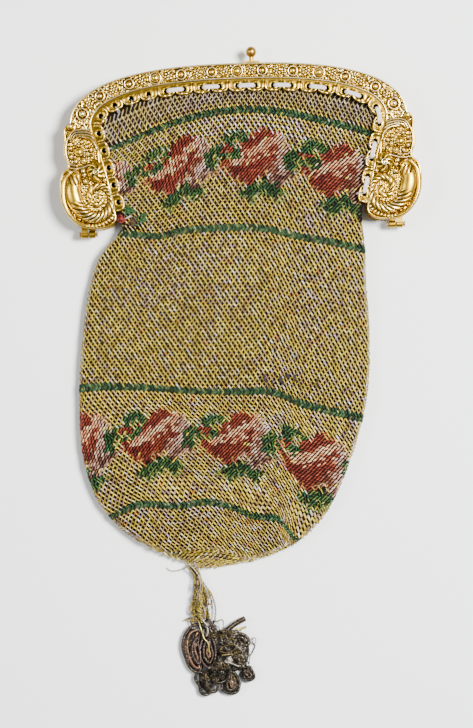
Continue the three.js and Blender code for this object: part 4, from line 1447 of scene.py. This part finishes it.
pieces = [
    # name, side, first round and the round that it stops before
    ("stitches_above", 1, -20, 36), ("stitches_between", 1, 36, 86), ("stitches_below", 1, 86, 200),
    ("stitches_behind_above", -1, -20, 55), ("stitches_behind_below", -1, 55, 200),
]
for name, side, first, last in pieces:
    # The back has plainer strands, and none of the last set, which lies below the others.
    front = side > 0
    made = []
    for places, runs, ups, thick, lift, rings, dyes_and_shade, number in strands if front else strands[:-1]:
        here = (number >= first) & (number < last) & ((ups[:, 2] > -0.05) == front)
        corners = 4 if front and rings is over_rings else 3
        made.append(loops(places[here], runs[here], ups[here], thick[here], lift, corners,
                          rings if front else under_rings, dyes_and_shade[here]))
    points, faces = joined([part[:2] for part in made])
    values = {
        "silk": np.concatenate([part[2] for part in made]),
        "twist": np.concatenate([part[3] for part in made]),
    }
    piece = skin(name, points, faces, silk, values)
    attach(piece, "purse")
    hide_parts("bag")

# Stem. The tassel hangs from the bag's lowest point on a few two-ply cords of gilt, amber and
# white thread, among many single strands and small curls that have sprung loose from them. They
# are sewn to the bag's foot and to the tassel's head.
coil_pitch = 0.52
ply_lay = 1.9
end_share = 0.35


def followed(path, step):
    """A smooth line through the points of a path, a like distance between its places."""
    line = smooth_line(path, 12)
    walked = walk_along(line)
    return pick_on(line, walked, np.linspace(0, walked[-1], max(int(walked[-1] / step), 4)))


def frames(line):
    """Two directions square to a line at each place, carried along it without twist."""
    walk = np.gradient(line, axis=0)
    walk /= np.linalg.norm(walk, axis=1)[:, None] + 1e-12
    side = np.cross(walk[0], (0.0, 0.0, 1.0))
    if np.linalg.norm(side) < 0.1:
        side = np.cross(walk[0], (0.0, 1.0, 0.0))
    sides = []
    for step in walk:
        side = side - step * np.dot(side, step)
        side /= np.linalg.norm(side)
        sides.append(side)
    sides = np.array(sides)
    return sides, np.cross(sides, walk)


def strand(path, radius, corners=7, step=0.25, wound=0.0):
    """A round strand along a path. Wound ones are ribbed, as wire coiled on a thread is."""
    line = followed(path, step)
    side, up = frames(line)
    count = np.arange(len(line))
    size = radius * (1 - wound * (0.5 + 0.5 * np.cos(count * step * 2 * np.pi / coil_pitch)))
    size = size * np.clip(np.minimum(count, count[::-1]) + end_share, 0, 1)
    angle = np.linspace(0, 2 * np.pi, corners, endpoint=False)
    rings = line[:, None] + size[:, None, None] * (
        side[:, None] * np.cos(angle)[:, None] + up[:, None] * np.sin(angle)[:, None]
    )
    return rings, tube_faces(len(line), corners)


def two_ply(path, radius):
    """A cord of two plies turned round each other."""
    step = 0.16
    line = followed(path, step)
    side, up = frames(line)
    parts = []
    for start in (0, np.pi):
        angle = start + np.arange(len(line)) * step * 2 * np.pi / ply_lay
        off = side * np.cos(angle)[:, None] + up * np.sin(angle)[:, None]
        parts.append(strand(line[::2] + off[::2] * radius * 0.62, radius * 0.42, 6, 0.2))
    return parts


def at_height(path, *heights):
    """A flat path set at heights that change evenly along it."""
    marks = np.linspace(0, 1, len(path))
    return lifted(path, np.interp(marks, np.linspace(0, 1, len(heights)), heights))


def curl(middle, sweep, wide, tall, z):
    """A curled path round a middle, for turns of its sweep."""
    return lifted(middle + np.stack([wide * np.cos(sweep), tall * np.sin(sweep)], axis=1), z)


def tinted(parts):
    """Points, faces and tints from parts given as (points and faces, tint)."""
    points, faces = joined([part for part, tint in parts])
    return points, faces, np.concatenate(
        [np.tile(tint, (np.size(part[0]) // 3, 1)) for part, tint in parts]
    )


metal_thread, place, shader = material("metal_thread", metallic=0.5)
tint = place.mesh_value("tint", "Color")
fray = place.noise(2400.0, 3.0)
paint(shader, {
    "Base Color": (0.9 * fray.held(0.42, 0.66)).blend(tint, (0.03, 0.018, 0.006)),
    "Roughness": 0.4 + 0.25 * fray,
})
olive_gold = (0.19, 0.145, 0.012)
pale_gold = (0.42, 0.33, 0.07)
lilac_white = (0.36, 0.29, 0.29)
amber = (0.36, 0.24, 0.01)
dark_gold = (0.06, 0.035, 0.006)
stem_strands = [
    # places, heights, radius, tint
    ([(-22.6, -173.1), (-21.0, -176.2), (-20.3, -179.2), (-19.9, -183.2), (-21.0, -186.5),
      (-21.8, -189.9), (-20.9, -192.6)], (1.2, 1.4, 2.6, 3.0), 0.5, olive_gold),
    ([(-21.7, -172.6), (-19.8, -176.4), (-18.7, -179.3), (-19.2, -182.6), (-18.8, -186.0),
      (-19.6, -189.3), (-18.9, -193.3)], (1.8, 2.2, 3.4, 3.8), 0.55, pale_gold),
    ([(-21.2, -172.1), (-19.3, -176.0), (-18.9, -178.9), (-18.3, -181.9), (-19.1, -185.3),
      (-18.7, -188.6), (-17.9, -193.4)], (2.4, 2.3, 1.6, 3.0), 0.42, lilac_white),
    ([(-19.2, -177.6), (-17.1, -181.0), (-15.5, -183.4), (-14.6, -186.1), (-14.1, -189.1),
      (-14.6, -193.5)], (1.6, 1.4, 2.6), 0.38, olive_gold),
    ([(-19.7, -178.9), (-18.2, -182.0), (-16.9, -185.0), (-17.5, -188.0), (-16.6, -190.7),
      (-17.3, -194.1)], (1.8, 2.6, 3.2), 0.48, olive_gold),
    ([(-20.4, -177.9), (-20.8, -181.9), (-21.6, -185.2), (-22.2, -187.8), (-22.0, -190.5),
      (-20.2, -193.3)], (1.2, 1.2, 2.2), 0.45, olive_gold),
    ([(-22.9, -173.6), (-21.3, -176.6), (-20.9, -179.9), (-20.6, -183.0)], (0.9, 0.8), 0.4,
     lilac_white),
    ([(-16.8, -182.0), (-15.9, -183.0), (-16.1, -185.0)], (2.6, 2.8), 0.5, amber),
    ([(-20.0, -184.0), (-20.3, -188.0), (-19.8, -192.0)], (2.6, 3.4, 3.9), 0.6, olive_gold),
]
stem_parts = []
for path, heights, radius, tint in stem_strands:
    stem_parts += [(ply, tint) for ply in two_ply(at_height(path, *heights), radius)]
stray = np.random.default_rng(12)
stem_middle = np.array([(-22.0, -173.4), (-20.4, -177.0), (-19.6, -181.0), (-19.4, -185.0),
                        (-19.8, -189.0), (-19.0, -193.0)])
for _ in range(46):
    first = stray.integers(0, 3)
    spread = np.array([1.5, 1.0, 1.4, 2.1, 2.4, 2.2])[first:]
    wave = stray.uniform(-1, 1) + 0.5 * np.sin(np.arange(6 - first) * 2 + stray.uniform(0, 6))
    path = stem_middle[first:] + np.stack([wave * spread, 0 * spread], axis=1)
    heights = stray.uniform(0.8, 3.6, 3)
    tint = (olive_gold, olive_gold, dark_gold, amber, lilac_white)[stray.integers(0, 5)]
    stem_parts.append((strand(at_height(path, *heights), stray.uniform(0.12, 0.22), 4, 0.3), tint))
for _ in range(110):
    along = stray.uniform(0.15, 1) ** 0.8
    middle = np.array([-19.6 + 0.6 * along, -178.0 - 15.5 * along])
    middle = middle + stray.normal(0, 1, 2) * (0.6 + 1.2 * along, 0.6)
    sweep = stray.uniform(0, 6) + np.linspace(0, stray.uniform(2, 5), 6)
    path = curl(middle, sweep, 0.6, 0.9, stray.uniform(1.2, 3.8) + 0.5 * np.cos(sweep * 1.6))
    tint = (olive_gold, dark_gold, amber, dark_gold)[stray.integers(0, 4)]
    stem_parts.append((strand(path, stray.uniform(0.14, 0.24), 4, 0.4), tint))
loose_end = [(-30.9, -173.8), (-30.0, -174.8), (-28.3, -175.1), (-26.3, -174.8),
             (-24.3, -174.0), (-22.3, -173.3)]
stem_parts.append((strand(at_height(loose_end, 0.25, 0.3, 1.2), 0.22, 6), lilac_white))
stem_parts.append((strand(at_height(
    [(-23.8, -188.8), (-23.4, -187.8), (-22.6, -187.5), (-21.9, -188.2), (-22.0, -189.5),
     (-22.8, -190.5), (-23.5, -190.0), (-23.8, -188.9)], 1.6), 0.17, 6), lilac_white))
points, faces, tints = tinted(stem_parts)
stem = skin("tassel_stem_strands", points, faces, metal_thread, {"tint": tints})
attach(stem, "purse")
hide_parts("tassel_stem")

# Sewing. White thread ties the bag to the front rim: a flat bar of it lies over every other gap
# between holes, with short grey ends at the holes down the left side and at two on the right. At
# the mouth's left corner are four tufts of loose silk, and above the third stripe a few dark
# mending stitches.
sewing_white = (0.62, 0.55, 0.53)
sewing_grey = (0.34, 0.29, 0.26)
tuft_red = (0.2, 0.018, 0.012)
tuft_green = (0.02, 0.075, 0.02)
tuft_brown = (0.06, 0.03, 0.015)
mending = (0.012, 0.008, 0.012)
thread_parts = []
rim_top = front_rim_low + rim_thickness
thread_chance = np.random.default_rng(31)
for k in (-4, -2, 0, 2, 4, 6, 8, 10, 12):
    for beside in (-0.42, 0.0, 0.42):
        spans = np.array([0.02, 0.14, 0.5, 0.86, 0.98]) + k
        line = on_rim(spans * hole_pitch, np.array([0, 1, 1, 1, 0]) * beside)
        heights = np.array([-0.6, 0.62, 0.8, 0.62, -0.6]) + rim_top
        thread_parts.append((strand(lifted(line, heights), 0.3, 7, 0.3), sewing_white))
for k in (-14, -13, -12, -11, -10, -9, -8, -7, -6, -5, 11, 13):
    for _ in range(3):
        sway = thread_chance.uniform(-0.5, 0.5, 2)
        line = on_rim(k * hole_pitch + np.array([0, 0.6, 1.6]) * sway[0],
                      np.array([-0.3, -1.4, -2.6]) + sway[1] * np.array([0, 0.2, 1.0]))
        path = lifted(line, rim_top + np.array([-0.5, 0.3, -0.2]))
        thread_parts.append((strand(path, 0.17, 6, 0.3), sewing_grey))
for cx, cy, wide, tint in ((-42.0, -50.6, 0.9, tuft_red), (-39.2, -48.0, 1.5, tuft_green),
                           (-35.6, -50.9, 1.4, tuft_green), (-37.9, -51.6, 1.2, tuft_brown)):
    for _ in range(14):
        sweep = np.linspace(0, thread_chance.uniform(2, 4), 7) + thread_chance.uniform(0, 6)
        middle = thread_chance.uniform(-1, 1, 2) * wide + (cx, cy)
        path = curl(middle, sweep, 0.8, 0.7, 7.6 + 0.4 * np.sin(sweep * 2))
        thread_parts.append((strand(path, 0.22, 6, 0.3), tint))
for cx, cy, tall in ((6.1, -108.4, 1.4), (11.7, -109.0, 1.6), (16.9, -108.5, 1.3),
                     (14.2, -107.6, 0.8), (24.6, -110.4, 1.5), (8.9, -109.6, 0.8)):
    for _ in range(3):
        sway = thread_chance.uniform(-0.5, 0.5, 2)
        path = [(cx + sway[0], cy + tall, 8.3), (cx + sway[1], cy, 8.75),
                (cx + sway[0] + 0.5, cy - tall, 8.3)]
        thread_parts.append((strand(path, 0.24, 6, 0.3), mending))
points, faces, tints = tinted(thread_parts)
sewing = skin("sewing_threads", points, faces, silk, {"silk": tints, "twist": 0})
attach(sewing, "purse")
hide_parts("bag")

# Tassel. It is a knot of bullion: fine wire wound over thread, bent into nested loops like petals
# and sewn to a head. The silver has tarnished nearly black, with copper showing on the bends.
bullion, place, shader = material("tarnished_bullion", metallic=0.75)
tint = place.mesh_value("tint", "Color")
tarnish = place.noise(520.0, 4.0, 0.65).held(0.38, 0.66)
# Fine bright flecks over the tarnish are painted glints: painted highlights.
glint = place.noise(2900.0, 2.0).held(0.62, 0.75)
soiled = (0.8 * tarnish).blend(tint, (0.008, 0.006, 0.004))
paint(shader, {
    "Base Color": glint.blend(soiled, (0.5, 0.44, 0.32)),
    "Roughness": 0.24 + 0.22 * tarnish,
})
umber = (0.039, 0.025, 0.014)
plum = (0.0546, 0.0328, 0.0296)
copper = (0.156, 0.0741, 0.039)
olive = (0.125, 0.0936, 0.0234)
silver = (0.312, 0.281, 0.226)
black = (0.012, 0.009, 0.006)
bronze = (0.172, 0.117, 0.0468)
petal_loops = [
    # places, heights, radius, tint
    ([(-18.9, -194.0), (-22.3, -194.4), (-25.1, -197.5), (-26.1, -201.5), (-25.2, -205.8),
      (-23.3, -209.8), (-21.0, -210.8), (-19.9, -208.7), (-20.5, -204.7), (-20.7, -200.3),
      (-19.7, -196.6)], (3.0, 2.2, 2.0, 2.2, 3.2), 0.72, umber),
    ([(-20.3, -195.6), (-23.2, -196.9), (-24.5, -200.5), (-24.0, -204.9), (-22.4, -208.4),
      (-20.8, -209.3), (-20.9, -206.0), (-21.9, -202.6), (-21.6, -198.9), (-20.6, -196.4)],
     (3.6, 3.4, 3.2, 3.6), 0.6, copper),
    ([(-20.4, -198.0), (-22.1, -199.9), (-22.8, -203.2), (-21.9, -206.3), (-20.4, -207.7),
      (-20.0, -204.3), (-20.5, -201.0)], (4.2, 3.9, 4.2), 0.6, plum),
    ([(-21.9, -196.4), (-24.9, -199.3), (-25.2, -203.0), (-24.3, -207.2)], (3.2, 3.0, 2.6), 0.5,
     plum),
    ([(-18.0, -197.4), (-19.5, -200.3), (-20.1, -203.7), (-19.4, -207.0), (-17.1, -209.3),
      (-15.2, -207.2), (-14.6, -203.5), (-15.1, -200.2), (-16.4, -197.8)], (4.2, 3.8, 4.0, 4.4),
     0.62, plum),
    ([(-17.4, -199.1), (-18.7, -202.0), (-18.5, -205.4), (-16.9, -207.5), (-15.6, -204.8),
      (-16.2, -201.1)], (4.8, 4.6, 4.9), 0.55, umber),
    ([(-17.2, -201.8), (-17.7, -203.8), (-16.9, -205.6), (-16.4, -203.6)], (4.9, 4.9), 0.5, copper),
    ([(-19.2, -210.9), (-21.4, -211.2), (-22.0, -213.3), (-20.7, -215.7), (-20.1, -218.2),
      (-18.1, -218.9), (-16.9, -217.7), (-18.2, -215.1), (-19.1, -212.8)], (2.4, 2.0, 1.7, 2.2),
     0.75, black),
    ([(-18.2, -210.8), (-18.6, -213.4), (-17.4, -216.5), (-15.7, -218.0), (-14.4, -216.9),
      (-14.9, -213.9), (-16.2, -211.2)], (3.2, 2.2, 3.0), 0.7, umber),
    ([(-10.8, -210.7), (-12.3, -214.0), (-12.7, -217.0), (-10.6, -218.6), (-7.7, -218.3),
      (-6.7, -215.9), (-7.5, -212.8), (-8.8, -210.8)], (3.0, 1.9, 2.0, 2.8), 0.75, black),
    ([(-9.7, -212.0), (-11.0, -215.0), (-10.2, -217.4), (-8.1, -216.3), (-8.2, -213.3)],
     (3.4, 3.0, 3.2), 0.62, umber),
    ([(-9.3, -213.4), (-9.7, -215.6), (-9.2, -216.3), (-8.9, -214.4)], (3.9, 3.8), 0.45, copper),
    ([(-5.7, -209.9), (-3.1, -209.8), (-1.6, -212.0), (-1.5, -213.5), (-3.2, -214.3),
      (-5.2, -212.9)], (2.6, 2.0, 2.4), 0.72, black),
    ([(-5.1, -210.9), (-3.1, -211.3), (-2.4, -212.9), (-3.8, -213.2)], (3.2, 3.0), 0.5, umber),
    ([(-12.0, -197.6), (-9.4, -195.6), (-6.9, -193.9), (-3.7, -192.4)], (3.4, 3.0, 2.2), 1.2,
     umber),
    ([(-7.0, -197.4), (-4.3, -198.2), (-2.9, -199.9), (-3.3, -201.9), (-5.1, -201.5),
      (-6.4, -199.8)], (3.6, 3.0, 3.4), 0.8, umber),
    ([(-6.6, -198.6), (-4.6, -199.4), (-4.2, -200.9)], (3.9, 3.7), 0.7, umber),
    ([(-13.0, -196.2), (-10.3, -197.0), (-7.6, -197.4), (-10.4, -198.6), (-12.7, -198.2)],
     (4.2, 3.8, 4.2), 0.6, umber),
    ([(-13.9, -204.9), (-13.4, -207.3), (-14.1, -209.6), (-15.5, -211.2), (-16.9, -212.5)],
     (4.9, 4.8, 3.8), 0.6, black),
    ([(-10.6, -205.0), (-11.0, -207.7), (-9.8, -209.7), (-10.2, -212.1)], (4.9, 4.6, 3.8), 0.6,
     black),
    ([(-15.4, -208.2), (-13.4, -207.9), (-11.0, -207.3), (-8.7, -208.1), (-6.4, -209.2)],
     (4.6, 5.2, 4.0), 0.36, silver),
    ([(-8.6, -204.7), (-7.3, -206.8), (-5.7, -208.2), (-4.7, -209.9)], (4.4, 3.6), 0.6, umber),
    ([(-12.6, -204.9), (-9.9, -204.7), (-7.2, -204.5), (-5.2, -203.2)], (5.0, 4.4, 3.6), 0.5,
     olive),
    ([(-16.3, -213.4), (-14.3, -214.6), (-12.3, -214.4), (-10.9, -213.4)], (3.2, 3.4, 3.2), 0.75,
     black),
    ([(-18.9, -192.0), (-17.6, -194.0), (-17.0, -196.7), (-17.7, -198.1)], (4.0, 4.6, 4.6), 0.42,
     silver),
    ([(-16.8, -192.1), (-15.9, -194.1), (-14.3, -194.8), (-14.7, -196.5), (-16.0, -196.1),
      (-16.3, -194.4)], (4.0, 4.4), 0.5, plum),
    ([(-14.8, -192.5), (-15.2, -194.1), (-17.0, -195.4), (-18.0, -197.4)], (3.8, 4.4, 4.6), 0.42,
     black),
    ([(-17.9, -192.0), (-18.4, -194.7), (-18.7, -197.7)], (3.6, 4.4), 0.42, lilac_white),
    ([(-16.0, -193.0), (-15.4, -195.6), (-15.9, -198.2)], (3.6, 4.6), 0.5, black),
]
fine_wires = [
    # places, heights, radius, tint
    ([(-20.2, -192.6), (-19.3, -195.7), (-18.4, -198.7), (-17.1, -200.4), (-16.8, -203.8)],
     (4.4, 5.4, 5.5), 0.26, pale_gold),
    ([(-14.9, -193.3), (-13.5, -193.0), (-12.0, -192.6), (-11.5, -193.4), (-11.8, -196.3)],
     (3.6, 3.2, 4.0), 0.24, olive),
    ([(-7.3, -196.1), (-5.3, -196.0), (-3.4, -195.4)], (3.4, 2.6), 0.42, amber),
    ([(-13.2, -203.2), (-11.8, -201.8), (-9.5, -201.2), (-7.1, -201.6), (-8.2, -203.1),
      (-10.6, -204.0), (-13.0, -203.4)], (5.6, 6.0, 5.6), 0.2, bronze),
    ([(-2.9, -200.1), (-2.1, -201.3), (-0.9, -201.5), (-0.3, -200.9), (-0.4, -199.8),
      (-1.1, -199.5), (-1.7, -200.1), (-1.3, -201.5), (-0.6, -202.2), (-1.4, -204.3),
      (-2.6, -206.3), (-2.8, -207.6), (-3.2, -209.5)], (3.0, 1.6, 0.6, 1.8), 0.17, umber),
    ([(-3.1, -200.9), (-3.8, -202.9), (-2.9, -205.3), (-3.6, -207.3), (-2.7, -208.6)],
     (3.0, 1.2, 1.8), 0.17, umber),
    ([(-5.6, -214.2), (-6.3, -216.2), (-7.0, -217.9)], (1.8, 0.6), 0.15, olive),
    ([(-25.4, -192.6), (-23.9, -192.1), (-22.2, -192.7), (-20.5, -192.3)], (1.2, 3.4), 0.3,
     pale_gold),
    ([(-24.6, -191.9), (-22.8, -191.6), (-20.8, -191.7)], (1.4, 3.6), 0.22, lilac_white),
]
tassel_parts = []
for path, heights, radius, tint in petal_loops:
    tassel_parts.append((strand(at_height(path, *heights), radius, 7, 0.14, 0.26), tint))
for path, heights, radius, tint in fine_wires:
    tassel_parts.append((strand(at_height(path, *heights), radius, 6, 0.2), tint))

curl_chance = np.random.default_rng(8)
curl_tints = (umber, bronze, black, olive, umber, silver, black, umber, black)
curl_fields = [
    # middle across and up, reach across and up, height, how many
    (-10.0, -199.6, 4.8, 3.8, 5.5, 170), (-7.2, -205.2, 4.0, 4.4, 4.9, 150),
    (-15.8, -197.4, 2.6, 3.4, 4.9, 44), (-12.8, -208.4, 4.4, 3.0, 5.6, 110),
    (-18.4, -213.6, 2.2, 3.8, 3.4, 60), (-9.6, -214.4, 2.4, 3.4, 3.6, 60),
    (-4.0, -211.6, 2.0, 2.0, 2.9, 34), (-14.4, -213.0, 3.0, 1.8, 4.0, 40),
    (-20.0, -190.5, 2.4, 3.6, 3.4, 16), (-6.8, -209.0, 3.0, 1.8, 3.4, 40),
    (-22.6, -203.0, 2.6, 6.6, 3.2, 40), (-17.0, -203.0, 2.2, 5.6, 4.8, 30),
]
for cx, cy, wide, tall, high, total in curl_fields:
    for _ in range(total):
        start = curl_chance.uniform(-1, 1, 2) * (wide, tall) * 0.75 + (cx, cy)
        turn = curl_chance.uniform(0, 2 * np.pi)
        bend = curl_chance.uniform(0.35, 1.1)
        sweep = np.linspace(0, curl_chance.uniform(2.5, 6.5), 7)
        rise = high + 0.5 * np.sin(sweep * 1.3 + turn)
        path = curl(start, turn + sweep, bend * 1.3, bend, rise)
        away = np.hypot((path[:, 0] - cx) / wide, (path[:, 1] - cy) / tall)
        path[:, 2] = np.maximum(path[:, 2] - high * 0.45 * np.minimum(away, 1.3) ** 2, 0.4)
        tint = curl_tints[curl_chance.integers(0, len(curl_tints))]
        tassel_parts.append((strand(path, 0.1 + 0.11 * curl_chance.random(), 4, 0.4), tint))


def lump(cx, cy, cz, wide, tall, thick, turn, seed):
    """A lumpy bundle of packed wire, for the tassel's inside."""
    rows, columns = 20, 28
    v = np.linspace(0.02, np.pi - 0.02, rows)[:, None]
    u = np.linspace(0, 2 * np.pi, columns, endpoint=False)[None, :]
    rough = 1 + 0.05 * np.sin(5 * u + seed) * np.sin(4 * v) + 0.03 * np.sin(11 * u + 7 * v + seed)
    x, y = wide * np.sin(v) * np.cos(u) * rough, tall * np.sin(v) * np.sin(u) * rough
    z = thick * np.cos(v) * rough + 0 * u
    c, s = math.cos(turn), math.sin(turn)
    points = np.stack([cx + x * c - y * s, cy + x * s + y * c, np.maximum(cz + z, 0.02)], axis=-1)
    return points, [corners[:, ::-1] for corners in tube_faces(rows, columns)]


lumps = [
    # middle across, up and high, reach across, up and high, turn
    (-17.6, -195.0, 2.6, 2.4, 3.6, 2.2, 0.0), (-22.4, -202.6, 1.7, 2.9, 7.2, 1.7, 0.05),
    (-17.2, -203.4, 2.3, 2.4, 6.0, 2.2, 0.0), (-11.6, -201.4, 2.5, 5.0, 5.4, 2.4, 0.4),
    (-12.2, -208.2, 2.7, 6.0, 3.9, 2.6, 0.5), (-6.4, -203.0, 2.0, 3.6, 5.4, 2.0, 0.3),
    (-12.8, -211.1, 3.0, 2.0, 2.0, 2.4, 0.0), (-18.6, -214.6, 1.5, 2.0, 3.8, 1.5, 0.4),
    (-9.8, -214.8, 1.6, 2.3, 3.7, 1.6, 0.0), (-3.9, -212.0, 1.4, 2.2, 1.7, 1.4, 0.5),
    (-6.2, -208.9, 1.6, 2.6, 1.6, 1.5, -0.3), (-14.6, -213.2, 1.7, 2.6, 1.6, 1.6, 0.0),
]
for number, (cx, cy, cz, wide, tall, thick, turn) in enumerate(lumps):
    tassel_parts.append((lump(cx, cy, cz, wide, tall, thick, turn, number), black))
points, faces, tints = tinted(tassel_parts)
tassel = skin("tassel_bullion", points, faces, bullion, {"tint": tints})
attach(tassel, "purse")
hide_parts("tassel")
